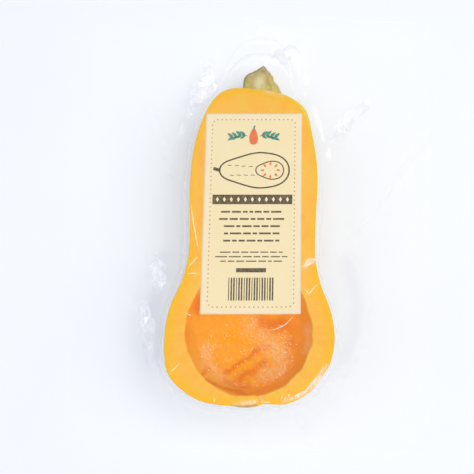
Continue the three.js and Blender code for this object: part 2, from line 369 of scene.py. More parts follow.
def capped(first, values, last):
    """Values at the points of a closed surface: its first point, its rings and its last point."""
    return np.concatenate([[first], values, [last]])


def set_attribute(made, name, values, domain="POINT"):
    attribute = made.data.attributes.new(name, "FLOAT", domain)
    attribute.data.foreach_set("value", np.asarray(values, np.float32).ravel())


def give_wall(made, thickness):
    """Thickens a sheet behind its face."""
    wall = made.modifiers.new("Wall", "SOLIDIFY")
    wall.thickness = thickness
    wall.offset = -1


def finished(piece, slot, *nodes):
    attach(piece, "root")
    if nodes:
        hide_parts(*nodes)


def add_node(tree, kind, inputs=None, out=0, **settings):
    """Adds a node and gives one of its outputs. An input is a value, or a socket that is linked to it."""
    node = tree.nodes.new(kind)
    for name, value in settings.items():
        setattr(node, name, value)
    for key, value in (inputs or {}).items():
        if isinstance(value, bpy.types.NodeSocket):
            tree.links.new(value, node.inputs[key])
        else:
            node.inputs[key].default_value = value
    return node.outputs[out] if len(node.outputs) else node


def new_material(name):
    material = bpy.data.materials.new(name)
    material.use_nodes = True
    material.node_tree.nodes.clear()
    return material, material.node_tree


def new_growth(name, sizes):
    """A Geometry Nodes tree with a geometry input and the named inputs, and the input node's sockets."""
    tree = bpy.data.node_groups.new(name, "GeometryNodeTree")
    tree.interface.new_socket("Geometry", in_out="INPUT", socket_type="NodeSocketGeometry")
    for size, kind in sizes.items():
        tree.interface.new_socket(size, in_out="INPUT", socket_type=kind)
    tree.interface.new_socket("Geometry", in_out="OUTPUT", socket_type="NodeSocketGeometry")
    return tree, tree.nodes.new("NodeGroupInput").outputs


def grow(source, tree, values):
    """Runs a tree over an object and leaves the result in it as a plain mesh."""
    modifier = source.modifiers.new("Growth", "NODES")
    modifier.node_group = tree
    for item in tree.interface.items_tree:
        if item.in_out == "INPUT" and item.name in values:
            modifier[item.identifier] = values[item.name]
    graph = bpy.context.evaluated_depsgraph_get()
    made = bpy.data.meshes.new_from_object(source.evaluated_get(graph))
    source.modifiers.remove(modifier)
    source.data = made


def end_growth(tree, geometry, material):
    """Ends a Geometry Nodes tree with real faces in a material."""
    geometry = add_node(tree, "GeometryNodeRealizeInstances", {"Geometry": geometry})
    geometry = add_node(tree, "GeometryNodeSetMaterial", {"Geometry": geometry, "Material": material})
    add_node(tree, "NodeGroupOutput", {"Geometry": geometry})


# Flesh

PEEL_FLATS = (
    (
        (-57.8, -15.5), (-57.1, -20.9), (-57.0, -26.4), (-56.4, -30.6), (-54.2, -34.3), (-43.6, -41.5),
        (-39.6, -46.3), (-35.3, -49.3), (-28.9, -51.2), (-22.5, -52.1), (-14.3, -52.5),
    ),
    (
        (2.0, -51.5), (6.0, -50.8), (10.1, -49.4), (14.1, -49.0), (22.3, -49.3), (27.0, -49.1),
        (35.0, -45.6), (43.3, -40.0), (47.0, -35.3), (55.6, -23.0), (57.9, -18.2), (58.8, -14.0),
        (59.3, -8.0),
    ),
)  # straight runs of the outline at the blossom end, in mm
NECK_SHIFT = 0.9 * MM  # of the neck's outline to the right of the frame's, but not low on the right
SHOULDER_FULL = 2.4 * MM  # how much fuller the right shoulder is
SHOULDER_AT = (36.0, 163.0)  # in mm
SHOULDER_SPREAD = (15.0, 15.0)

WET_STREAKS = (
    (((-16.2, -28.8), (-10.2, -24.6), (-3.5, -19.0), (2.6, -14.8), (6.0, -13.6)), 1.6),
    (((5.0, -11.0), (9.4, -10.0), (14.5, -8.6)), 2.2),
    (((-5.2, -31.2), (1.5, -27.0), (6.9, -23.5), (12.0, -20.2)), 3.0),
    (((41.0, -15.5), (35.0, -21.0), (29.5, -25.5)), 3.2),
    (((11.9, -39.6), (23.5, -34.0), (34.3, -25.6)), 2.6),
    (((-15.5, -33.5), (-8.0, -36.0), (0.2, -37.3)), 2.4),
    (((-29.1, -34.0), (-16.8, -39.0), (0.3, -42.4), (11.0, -40.4)), 1.5),
    (((-31.8, -31.9), (-27.2, -24.4)), 1.3),
    (((9.0, 9.0), (15.0, 6.5), (20.0, 6.0)), 5.5),
    (((25.0, 8.0), (33.0, 5.0), (35.0, -3.0), (30.0, -9.0)), 5.0),
    (((-34.6, 22.0), (-36.0, 16.0)), 4.0),
)  # where the spoon bared darker flesh, and the width of each, in mm
WET_PATCHES = (
    ((-43, -2), (4, 18), 0, 0.45),
    ((26, -30), (12, 5), 35, 0.4),
    ((39, -4), (7, 18), 0, 0.6),
)  # wide wet places, with their sizes in mm, turns in degrees and strengths
PALE_PULP = (
    (((6.4, 1.1), (12.0, -4.3), (19.0, -8.9), (24.6, -13.6), (24.0, -20.0)), 5.0),
    (((22.0, -26.0), (15.2, -27.4), (9.7, -30.2)), 4.2),
    (((-29.0, -22.0), (-22.0, -28.0), (-16.0, -32.0)), 4.2),
    (((-30.0, -11.0), (-29.0, -17.0)), 3.6),
    (((41.0, 5.0), (42.0, -6.0), (40.5, -13.0)), 2.6),
    (((4.9, 9.3), (0.9, 4.4), (-3.2, 0.8)), 3.0),
)  # stringy pulp left between them
SCAR = ((-3.0, -49.0), (1.9, -48.4), (5.5, -47.8))
SCAR_TAIL = ((-9.0, -49.8), (-3.0, -49.2))
SCAR_RIM = ((-10.5, -50.9), (-4.8, -51.1), (0.6, -50.9), (6.4, -50.2))
COLLAR = ((-9.0, 180.2), (1.0, 179.4), (7.0, 178.2), (14.2, 175.2), (22.0, 173.4))  # round the stem
CLEFT = ((8.2, -41.3), (9.6, -43.6), (10.7, -46.2), (11.6, -48.8))


SKIN_DEPTH = 0.3 * MM  # under the cut face, where the outline and the cavity's edge are read
EVEN_OUT = 30 * MM  # past the outline, where the rays are evenly spaced
NOISE_CIRCLE = 50 * MM  # radius of the circle on which noise round the squash is read
CAVITY_ROUGH = 1.0 * MM  # how far the spoon strayed at the cavity's edge
BOWL_SHARE = 0.76  # of the frame's cavity depth, filled up by wet pulp
FILM_ROOM = 0.6 * MM  # kept under the frame's film
PAINTED_GLOW_WAY = math.radians(-22)  # towards the cavity wall that gets a painted glow, as of light through the flesh, over its shade
SCOOP_WAY = math.radians(-38)  # of the spoon's strokes
CLEFT_DEPTH = 1.2 * MM
BOWL_RINGS = 54
KNIFE_RINGS = 33
BACK_RINGS = 54


class Flesh:
    """Rays, outline and cavity of the squash half in the cut frame."""

    def __init__(self, rays):
        self.rays = rays
        self.tree = tree_in("squash_half", CUT)
        self.film = tree_in("front_film", CUT)
        self.turns = even_turns(lambda fine: reach(self.tree, fine, -SKIN_DEPTH, True) + EVEN_OUT, rays)
        self.way = np.stack([np.cos(self.turns), np.sin(self.turns)], axis=1)
        blur = rays / BLUR_RAYS
        outline = self.shifted(soften(reach(self.tree, self.turns, -SKIN_DEPTH, True), 1.6 * blur))
        for run in PEEL_FLATS:
            for start, end in zip(run, run[1:]):
                outline = np.minimum(outline, self.flat_reach(Vector(start) * MM, Vector(end) * MM))
        self.outline = soften(outline, 0.6 * blur)
        cavity = soften(reach(self.tree, self.turns, -SKIN_DEPTH, False), 2.5 * blur)
        self.cavity = cavity + CAVITY_ROUGH * self.stray(13 * MM, 3)

    def stray(self, size, seed):
        """Smooth noise round the squash, between -1 and 1, for each ray."""
        return grain(on_plane(*(self.way * NOISE_CIRCLE).T), size, seed)

    def shifted(self, outline):
        """The outline with its neck moved across and its right shoulder filled."""
        x, y = (self.way * outline[:, None]).T
        held = np.where(x < 0, 1, smooth(y, 85 * MM, 115 * MM))
        moved = x + NECK_SHIFT * smooth(y, 15 * MM, 45 * MM) * held
        full = SHOULDER_FULL * spot(x, y, SHOULDER_AT, SHOULDER_SPREAD)
        moved = moved + full * 0.8
        y = y + full * 0.6
        turned = np.unwrap(np.arctan2(y, moved))
        return np.interp(self.turns, turned, np.hypot(moved, y), period=2 * math.pi)

    def flat_reach(self, start, end):
        """Distance along each ray to a straight run, and far off on rays that miss it."""
        run = end - start
        square = Vector((run.y, -run.x))
        towards = self.way @ np.array(square)
        found = square.dot(start) / np.where(np.abs(towards) < 1e-9, 1e-9, towards)
        share = ((self.way * found[:, None] - np.array(start)) @ np.array(run)) / run.length_squared
        return np.where((found > 0) & (share >= 0) & (share <= 1), found, FAR)

    def ring(self, radius, z):
        """Points at a radius along each ray."""
        flat = self.way * np.reshape(radius * np.ones(self.rays), (-1, 1))
        return np.column_stack([flat, z * np.ones(self.rays)])


def scoop_relief(points):
    """Ridges that the spoon leaves, long across the cavity, with stringy flesh between them."""
    turned = points @ np.array(Matrix.Rotation(SCOOP_WAY, 3, "Z"))
    strokes = grain(turned / np.array([3.2, 1, 1]), 8 * MM, 1)
    strings = grain(turned / np.array([4, 1, 1]), 2.2 * MM, 2)
    return strokes + 0.3 * strings


def bowl_rings(flesh, looks):
    """Scooped cavity, from its middle to its edge, kept under the film."""
    shares = 1 - (1 - np.linspace(0.02, 0.985, BOWL_RINGS)) ** 1.15
    bowl = np.stack([flesh.ring(s * flesh.cavity, 0) for s in shares])
    level = heights(flesh.tree, bowl[..., 0], bowl[..., 1], True, 0)
    bowl[..., 2] = BOWL_SHARE * soften_rings(level, 7, 2)
    fade = np.reshape(1 - smooth(shares, 0.82, 1), (-1, 1))
    bowl[..., 2] += looks.scoop * fade * scoop_relief(bowl)
    film = heights(flesh.film, bowl[..., 0], bowl[..., 1], False, 0)
    bowl[..., 2] = np.minimum(bowl[..., 2], np.minimum(film - FILM_ROOM, -0.4 * MM))
    return bowl


def knife_rings(flesh, rim):
    """Cut face, from the cavity's rounded edge to the rounded outline."""
    inner = flesh.cavity + rim
    outer = flesh.outline - rim
    rings = [flesh.ring(flesh.cavity + 0.3 * rim, -0.35 * rim), flesh.ring(inner, 0)]
    for share in np.linspace(0, 1, KNIFE_RINGS + 1)[1:]:
        rings.append(flesh.ring(inner + (outer - inner) * share, 0))
    rings += [flesh.ring(flesh.outline - 0.3 * rim, -0.12 * rim), flesh.ring(flesh.outline, -0.6 * rim)]
    knife = np.stack(rings)
    knife[1:-2, :, 2] += 0.1 * MM * grain(knife[1:-2], 16 * MM, 5)
    knife[..., 2] -= CLEFT_DEPTH * streak(knife[..., 0], knife[..., 1], CLEFT, 1.1)
    return knife


def back_rings(flesh):
    """Peeled back, from under the outline to the keel."""
    latitudes = np.radians(np.linspace(8, 88.5, BACK_RINGS))
    back = np.stack([flesh.ring(flesh.outline * math.cos(a), 0) for a in latitudes])
    level = heights(flesh.tree, back[..., 0], back[..., 1], False, 0)
    back[..., 2] = soften_rings(level, 1.2, 0.8)
    return back


def flesh_marks(flesh, points, count, kind):
    """What the flesh's material reads at points of a kind: 0 in the bowl, 1 on the cut, 2 on the back."""
    x, y = points[:, 0], points[:, 1]
    out = np.hypot(x, y)
    low = -points[:, 2] / MM
    outline = capped(1, np.tile(flesh.outline, count), 1)
    cavity = capped(1, np.tile(flesh.cavity, count), 1)
    wander = 1.3 * MM * np.stack([grain(points, 5 * MM, seed) for seed in (11, 12)])
    u, v = x + wander[0], y + wander[1]
    wet = sum(streak(u, v, path, width) for path, width in WET_STREAKS)
    wet += sum(share * spot(u, v, at, size, turn) for at, size, turn, share in WET_PATCHES)
    pulp = sum(streak(u, v, path, width) for path, width in PALE_PULP)
    away = (x * math.cos(PAINTED_GLOW_WAY) + y * math.sin(PAINTED_GLOW_WAY)) / np.maximum(out, MM)

    u, v = x + 0.4 * wander[0], y + 0.4 * wander[1]
    scar = np.maximum(0.9 * streak(u, v, SCAR, 1.5), 0.45 * streak(u, v, SCAR_TAIL, 1.2))
    scar = np.maximum(scar, 0.45 * streak(u, v, COLLAR, 1.0))
    high = (kind > 0.5) * (1 - smooth(low + wander[0] / MM, 1, 6))
    turn = np.arctan2(y, x)
    strands = np.stack([60 * MM * np.cos(turn), 60 * MM * np.sin(turn), out / 5], axis=-1)
    return {
        "hollow": smooth(low, 0.1, 1.0) * (kind < 0.5),
        "outside": kind > 1.5,
        "edge": np.where(kind > 0.5, 1 - smooth((outline - out) / MM, 0.5, 10), 0),
        # brighter orange on the cavity's right wall: a painted glow over its shade
        "painted_glow": smooth(out / cavity, 0.55, 0.85) * smooth(away, 0.1, 0.8),
        "wet": np.clip(wet, 0, 1),
        "pulp": np.clip(pulp, 0, 1),
        "scar": scar * high,
        "bark": 0.9 * streak(u, v, SCAR_RIM, 0.8) * high,
        "cleft": 0.6 * streak(u, v, CLEFT, 1.2) * high,
        "strand": np.clip(0.5 + 0.5 * grain(strands, 4 * MM, 13), 0, 1),
    }


def flesh_mesh(flesh, looks, material):
    parts = [bowl_rings(flesh, looks), knife_rings(flesh, looks.rim), back_rings(flesh)]
    rings = np.concatenate(parts)
    middle = (0, 0, rings[0, :, 2].mean())
    keel = (0, 0, rings[-1, :, 2].mean())
    points = capped(middle, rings.reshape(-1, 3), keel)
    made = new_object("flesh", to_world(points), ring_faces(len(rings), flesh.rays), material)
    kind = np.repeat([0, 1, 2], [len(part) * flesh.rays for part in parts])
    for name, values in flesh_marks(flesh, points, len(rings), capped(0, kind, 2)).items():
        set_attribute(made, name, values)
    return made


def flesh_material(looks):
    """Peeled raw squash: dense, moist and a little translucent, with short fibres that show as mottling."""
    material, tree = new_material("Moist butternut flesh")
    place = add_node(tree, "ShaderNodeTexCoord", out="Object")
    read = {
        name: add_node(tree, "ShaderNodeAttribute", out="Fac", attribute_name=name)
        for name in ("hollow", "outside", "edge", "wet", "painted_glow", "pulp", "scar", "bark", "cleft", "strand")
    }
    inputs = {"Vector": place, "Scale": 1 / (1.6 * MM), "Detail": 4.0, "Roughness": 0.65}
    fibre = add_node(tree, "ShaderNodeTexNoise", inputs)
    cloud = add_node(tree, "ShaderNodeTexNoise", {"Vector": place, "Scale": 1 / (22 * MM), "Detail": 2.0})
    ripe = add_node(tree, "ShaderNodeTexNoise", {"Vector": place, "Scale": 1 / (6 * MM), "Detail": 3.0})
    mottle = add_node(tree, "ShaderNodeMapRange", {0: fibre, 1: 0.3, 2: 0.75, 3: 0.0, 4: 0.14})
    corky = add_node(tree, "ShaderNodeMapRange", {0: fibre, 1: 0.35, 2: 0.6})
    paler = add_node(tree, "ShaderNodeMapRange", {0: cloud, 1: 0.35, 2: 0.7, 3: 0.0, 4: 0.4})
    gloss = add_node(tree, "ShaderNodeMapRange", {0: cloud, 1: 0.3, 2: 0.7, 3: 0.38, 4: 0.55})
    riper = add_node(tree, "ShaderNodeMapRange", {0: ripe, 1: 0.4, 2: 0.7, 3: 0.0, 4: 0.5})
    thread = add_node(tree, "ShaderNodeMapRange", {0: read["strand"], 1: 0.45, 2: 0.85, 3: 0.0, 4: 0.4})
    pulpy = add_node(tree, "ShaderNodeMath", {0: read["pulp"], 1: corky}, operation="MULTIPLY")

    mix = {"data_type": "RGBA", "out": 2}
    face = tuple(looks.cut)
    layers = (
        (paler, linear("#fbb64e")),
        (thread, linear("#f7ab2c")),
        (read["edge"], tuple(looks.edge)),
    )
    for share, over in layers:
        face = add_node(tree, "ShaderNodeMix", {0: share, 6: face, 7: over}, **mix)
    bowl = tuple(looks.hollow)
    layers = (
        (riper, linear("#f89c1c")),
        (read["wet"], tuple(looks.deep)),
        # painted glow on the cavity's right wall
        (read["painted_glow"], linear("#ff920e")),
        (pulpy, tuple(looks.pulp)),
    )
    for share, over in layers:
        bowl = add_node(tree, "ShaderNodeMix", {0: share, 6: bowl, 7: over}, **mix)
    cork = add_node(tree, "ShaderNodeMix", {0: corky, 6: tuple(looks.scar), 7: linear("#eacd98")}, **mix)
    colour = face
    layers = (
        (read["hollow"], bowl, "MIX"),
        (read["outside"], tuple(looks.outside), "MIX"),
        (mottle, linear("#ec9a20"), "MULTIPLY"),
        (read["scar"], cork, "MIX"),
        (read["bark"], linear("#a8956f"), "MIX"),
        (read["cleft"], linear("#ffc894"), "MIX"),
    )
    for share, over, kind in layers:
        colour = add_node(tree, "ShaderNodeMix", {0: share, 6: colour, 7: over}, blend_type=kind, **mix)

    bump = add_node(tree, "ShaderNodeBump", {"Height": fibre, "Strength": 0.25, "Distance": 0.3 * MM})
    inputs = {
        "Base Color": colour,
        "Roughness": gloss,
        "Normal": bump,
        "Subsurface Weight": 0.5,
        "Subsurface Radius": (1.0, 0.45, 0.1),
        "Subsurface Scale": 6 * MM,
        "IOR": 1.38,
    }
    moist = add_node(tree, "ShaderNodeBsdfPrincipled", inputs)
    add_node(tree, "ShaderNodeOutputMaterial", {"Surface": moist})
    return material


class SQUASH_OT_flesh(bpy.types.Operator):
    """Builds the peeled half with its cut face, scooped cavity and blossom scar"""

    bl_idname = "squash.flesh"
    bl_label = "Flesh"

    def execute(self, context):
        looks = context.scene.squash_flesh
        made = flesh_mesh(Flesh(FLESH_RAYS), looks, flesh_material(looks))
        made.visible_diffuse = False  # a wide white room drowns the orange it would throw on the table
        finished(made, "squash_flesh", "squash_half")
        return {"FINISHED"}


# Stem

STEM_FACE = (
    (-7.0, 172.0), (-7.6, 178.5), (-7.4, 181.4), (-7.3, 183.8), (-6.5, 186.2), (-5.1, 188.6), (-0.7, 191.0),
    (2.2, 192.8), (4.4, 194.3), (5.9, 195.8), (7.2, 196.4), (9.1, 194.7), (10.4, 192.5), (13.2, 189.2),
    (14.4, 187.4), (14.9, 184.3), (16.6, 182.3), (18.6, 179.9), (19.6, 177.8), (20.7, 175.0), (18.0, 169.0),
    (6.0, 167.5),
)  # outline of the split face, with its root under the flesh, in mm
STEM_MIDDLE = (6.0, 181.5)  # in mm
STEM_FOOT = 178 * MM  # where the facets of the face start to fall away
STEM_DROP = 1.3 * MM  # of the face's foot under the cut
STEM_SIDES = 150
STEM_TOP_RINGS = 26
STEM_BACK_RINGS = 18
STEM_RIBS = 9
STEM_KEEL = -16 * MM
STEM_MOSS = (
    ((16.6, 179.4), 1.6),
    ((13.6, 185.0), 1.0),
    ((-4.6, 183.4), 1.8),
    ((11.2, 180.4), 1.2),
    ((14.6, 181.8), 0.9),
    ((-2.6, 186.8), 1.1),
    ((12.2, 187.4), 0.8),
)  # greener spots and their sizes, in mm
STEM_SHADE = (((10.6, 186.0), (1.8, 5.0)), ((12.4, 181.2), (2.0, 3.2)), ((-4.8, 185.6), (1.6, 3.4)))
STEM_PALE = ((4.4, 184.2), (3.4, 5.0), -12)  # bare wood on the face: place and size in mm, turn in degrees
STEM_TIP = ((7, 194.5), (3, 2.6))  # dark end of the stub


def stem_mesh(material):
    """Split stub: a faceted face a little under the cut, a ragged outline and a ribbed back."""
    turns = 2 * math.pi * np.arange(STEM_SIDES) / STEM_SIDES
    way = np.stack([np.cos(turns), np.sin(turns)], axis=1)
    middle = np.array(STEM_MIDDLE) * MM
    corners = np.array(STEM_FACE) * MM - middle
    bends = np.arctan2(corners[:, 1], corners[:, 0])
    order = np.argsort(bends)
    outline = np.interp(turns, bends[order], np.hypot(*corners.T)[order], period=2 * math.pi)
    outline = outline + 0.35 * MM * grain(on_plane(*(way * 12 * MM).T), 1.6 * MM, 21)

    shares = np.linspace(0.03, 1, STEM_TOP_RINGS)
    flat = middle + way * outline[:, None] * shares[:, None, None]
    x, y = flat[..., 0], flat[..., 1]
    up = np.maximum(0, y - STEM_FOOT)
    left = np.maximum(0, 1.0 * MM + 0.2 * up - x)
    right = np.maximum(0, x - (11.5 * MM - 0.2 * up))
    tip = np.maximum(0, up - (10 * MM + 0.35 * (x - 6 * MM)))
    top = -STEM_DROP - 0.12 * up - 0.7 * left - 0.8 * right - 0.5 * tip
    cords = grain(on_plane(x, y / 5), 1.5 * MM, 22)
    chips = creases(on_plane(x, y / 2), 3.2 * MM, 23)
    top = top + 0.3 * MM * cords + 0.8 * MM * (chips - 0.6) - 0.5 * MM * smooth(shares, 0.9, 1)[:, None]
    eye = np.array(EYE)
    flat = eye[:2] + (flat - eye[:2]) * (1 - top / eye[2])[..., None]

    slopes = np.radians(np.linspace(7, 87, STEM_BACK_RINGS))
    ribs = 1 + 0.04 * np.cos(STEM_RIBS * turns)
    back = middle + (flat[-1] - middle) * ribs[:, None] * np.cos(slopes)[:, None, None]
    low = top[-1] + (STEM_KEEL - top[-1]) * np.sin(slopes)[:, None]
    rings = np.concatenate([np.dstack([flat, top]), np.dstack([back, low])])
    first = np.append(middle, top[0].mean())
    last = np.append(middle, STEM_KEEL)
    points = capped(first, rings.reshape(-1, 3), last)
    made = new_object("stem_stub", to_world(points), ring_faces(len(rings), STEM_SIDES), material)

    x, y = points[:, 0], points[:, 1]
    on_top = np.arange(len(points)) <= STEM_TOP_RINGS * STEM_SIDES
    rim = np.concatenate([shares, np.ones(STEM_BACK_RINGS)])
    rim = capped(0, np.repeat(rim, STEM_SIDES), 1)
    dark = smooth(rim, 0.86, 0.98) * (1 - smooth(x / MM, 4, 14)) + 0.8 * spot(x, y, *STEM_TIP)
    marks = {
        "pale": spot(x, y, *STEM_PALE) * on_top,
        "moss": sum(spot(x, y, at, (size, size)) for at, size in STEM_MOSS),
        "shade": 1.2 * sum(spot(x, y, at, size) for at, size in STEM_SHADE),
        "dark": dark,
    }
    for name, values in marks.items():
        set_attribute(made, name, np.clip(values, 0, 1))
    return made


def stem_material(looks):
    """Dry woody stub: dull olive bark with fine cords, and a paler face where the knife split it."""
    material, tree = new_material("Dry squash stem")
    place = add_node(tree, "ShaderNodeTexCoord", out="Object")
    read = {
        name: add_node(tree, "ShaderNodeAttribute", out="Fac", attribute_name=name)
        for name in ("pale", "shade", "moss", "dark")
    }
    drawn = add_node(tree, "ShaderNodeMapping", {"Vector": place, "Scale": (1, 0.22, 1)})
    inputs = {"Vector": drawn, "Scale": 1 / (1.5 * MM), "Detail": 3.0, "Roughness": 0.6}
    cords = add_node(tree, "ShaderNodeTexNoise", inputs)
    patch = add_node(tree, "ShaderNodeTexNoise", {"Vector": place, "Scale": 1 / (6 * MM), "Detail": 2.0})
    ridge = add_node(tree, "ShaderNodeMapRange", {0: cords, 1: 0.35, 2: 0.65})
    tanned = add_node(tree, "ShaderNodeMapRange", {0: patch, 1: 0.42, 2: 0.62, 3: 0.0, 4: 0.8})
    colour = linear("#b9a05c")
    layers = (
        (ridge, tuple(looks.stem)),
        (tanned, linear("#d9bf7f")),
        (read["pale"], tuple(looks.stem_cut)),
        (read["shade"], linear("#b39c55")),
        (read["moss"], linear("#cdc544")),
        (read["dark"], linear("#8c7a50")),
    )
    for share, over in layers:
        colour = add_node(tree, "ShaderNodeMix", {0: share, 6: colour, 7: over}, data_type="RGBA", out=2)
    bump = add_node(tree, "ShaderNodeBump", {"Height": cords, "Strength": 0.6, "Distance": 0.5 * MM})
    inputs = {"Base Color": colour, "Roughness": 0.72, "Normal": bump}
    wood = add_node(tree, "ShaderNodeBsdfPrincipled", inputs)
    add_node(tree, "ShaderNodeOutputMaterial", {"Surface": wood})
    return material


class SQUASH_OT_stem(bpy.types.Operator):
    """Builds the ribbed, torn stem stub"""

    bl_idname = "squash.stem"
    bl_label = "Stem"

    def execute(self, context):
        finished(stem_mesh(stem_material(context.scene.squash_flesh)), "stem_wood", "stem")
        return {"FINISHED"}


# Pouch

CAD_GAP = 0.35 * MM  # of the frame's film over the cut face
CAD_WALL = 0.6 * MM  # the frame's film is drawn thick
SEAM_OUT = 4.5 * MM  # from the squash to where the two sheets meet
SEAM_DROP = 15 * MM
SHEET_GAP = 0.3 * MM  # between the sheets in the margin
GATHER_REACH = 22 * MM  # how far the gathered, cloudy film reaches from the seam
OVER_RINGS = 60
SHOULDER_RINGS = 12
SKIRT_RINGS = 46
POCKET_RINGS = 60
BEND_RINGS = 4  # of the shoulder, where a pale line is painted as a highlight along the film's bend over the flesh
BEND_HIGHLIGHT = 0.8
TENT_IN = 2.3 * MM  # of the film round the stem from the frame's
EDGE_POWER = 22  # of the curve round the pouch, which sets how tight its corners are
EDGE_HALVINGS = 40  # steps of the search for the pouch's edge
SKIRT_LEAST = 1.4 * MM  # height of the margin over the table where it is lowest
POCKET_LEAST = 0.25 * MM  # and of the back film
SEAL_IN = 3 * MM  # of the heat seal from the pouch's edge
MIST = (
    ((19.5, -11.5), 9),
    ((9.3, -1.5), 6),
    ((16.0, -26.5), 8),
    ((-29.8, -14.0), 5),
    ((2.5, 8.0), 5),
)  # fogged patches over the cavity and their sizes, in mm
WHITENED_AND_GLINTS = (
    (((-66.0, 48.0), (-63.5, 40.0), (-62.5, 30.0), (-67.5, 29.0)), 4.8, 1.0),
    (((-73.4, 17.9), (-70.4, 6.2), (-68.2, -4.1), (-68.5, -13.0)), 4.2, 0.9),
    (((-68.0, -14.4), (-65.6, -24.5), (-61.3, -29.2)), 2.4, 0.5),
    (((-34.7, 196.0), (-32.5, 184.0), (-36.5, 175.0), (-44.5, 163.0)), 5.0, 0.9),
    (((-73.8, 158.1), (-63.1, 129.3), (-58.0, 112.0)), 4.0, 0.45),
    (((13.0, 199.0), (31.5, 210.7)), 5.0, 0.9),
    (((0.9, 222.8), (5.7, 205.3)), 3.6, 0.7),
    (((59.7, 139.8), (70.6, 156.8), (83.8, 167.2)), 4.6, 0.8),
    (((35.9, -58.9), (46.8, -77.0)), 3.4, 0.5),
    (((54.1, -37.2), (64.3, -28.9)), 3.0, 0.5),
    (((139.6, 153.1), (121.0, 132.1), (106.3, 114.5), (85.9, 84.5), (66.6, 58.8)), 1.7, 0.35),
    (((66.6, 58.8), (78.5, 41.2), (84.5, 16.8), (80.2, -7.5), (69.8, -28.1)), 1.7, 0.3),
    (((39.0, 46.3), (42.0, 50.5), (45.0, 51.0)), 1.9, 1.0),
    (((24.0, -47.3), (33.6, -43.8), (42.0, -38.2), (49.3, -28.8), (54.0, -21.5)), 1.2, 0.8),
)  # creased film, whitened partly by stretching and partly as painted glints: places over the cut face on lines from the camera, width and strength, in mm
PLIES_AND_SHADE = (
    (((68.0, 50.0), (72.5, 36.0), (75.5, 18.0), (73.5, 0.0), (67.0, -16.0)), 6.0, 1.0),
    (((-63.0, 50.0), (-63.0, 32.0), (-66.0, 18.0), (-65.5, 2.0), (-64.5, -18.0)), 6.0, 1.0),
    (((-42.0, 182.0), (-44.0, 168.0)), 5.0, 1.0),
)  # film folded on itself, tinted grey partly for its layers and partly as painted shade, in the same terms


def film_marks(marks, points):
    """How strong a kind of mark on the film is at points of the object's frame, from 0 to 1."""
    place = over_cut_face(to_cut(points))
    made = sum(share * streak(place[..., 0], place[..., 1], path, width) for path, width, share in marks)
    return np.clip(made, 0, 1)


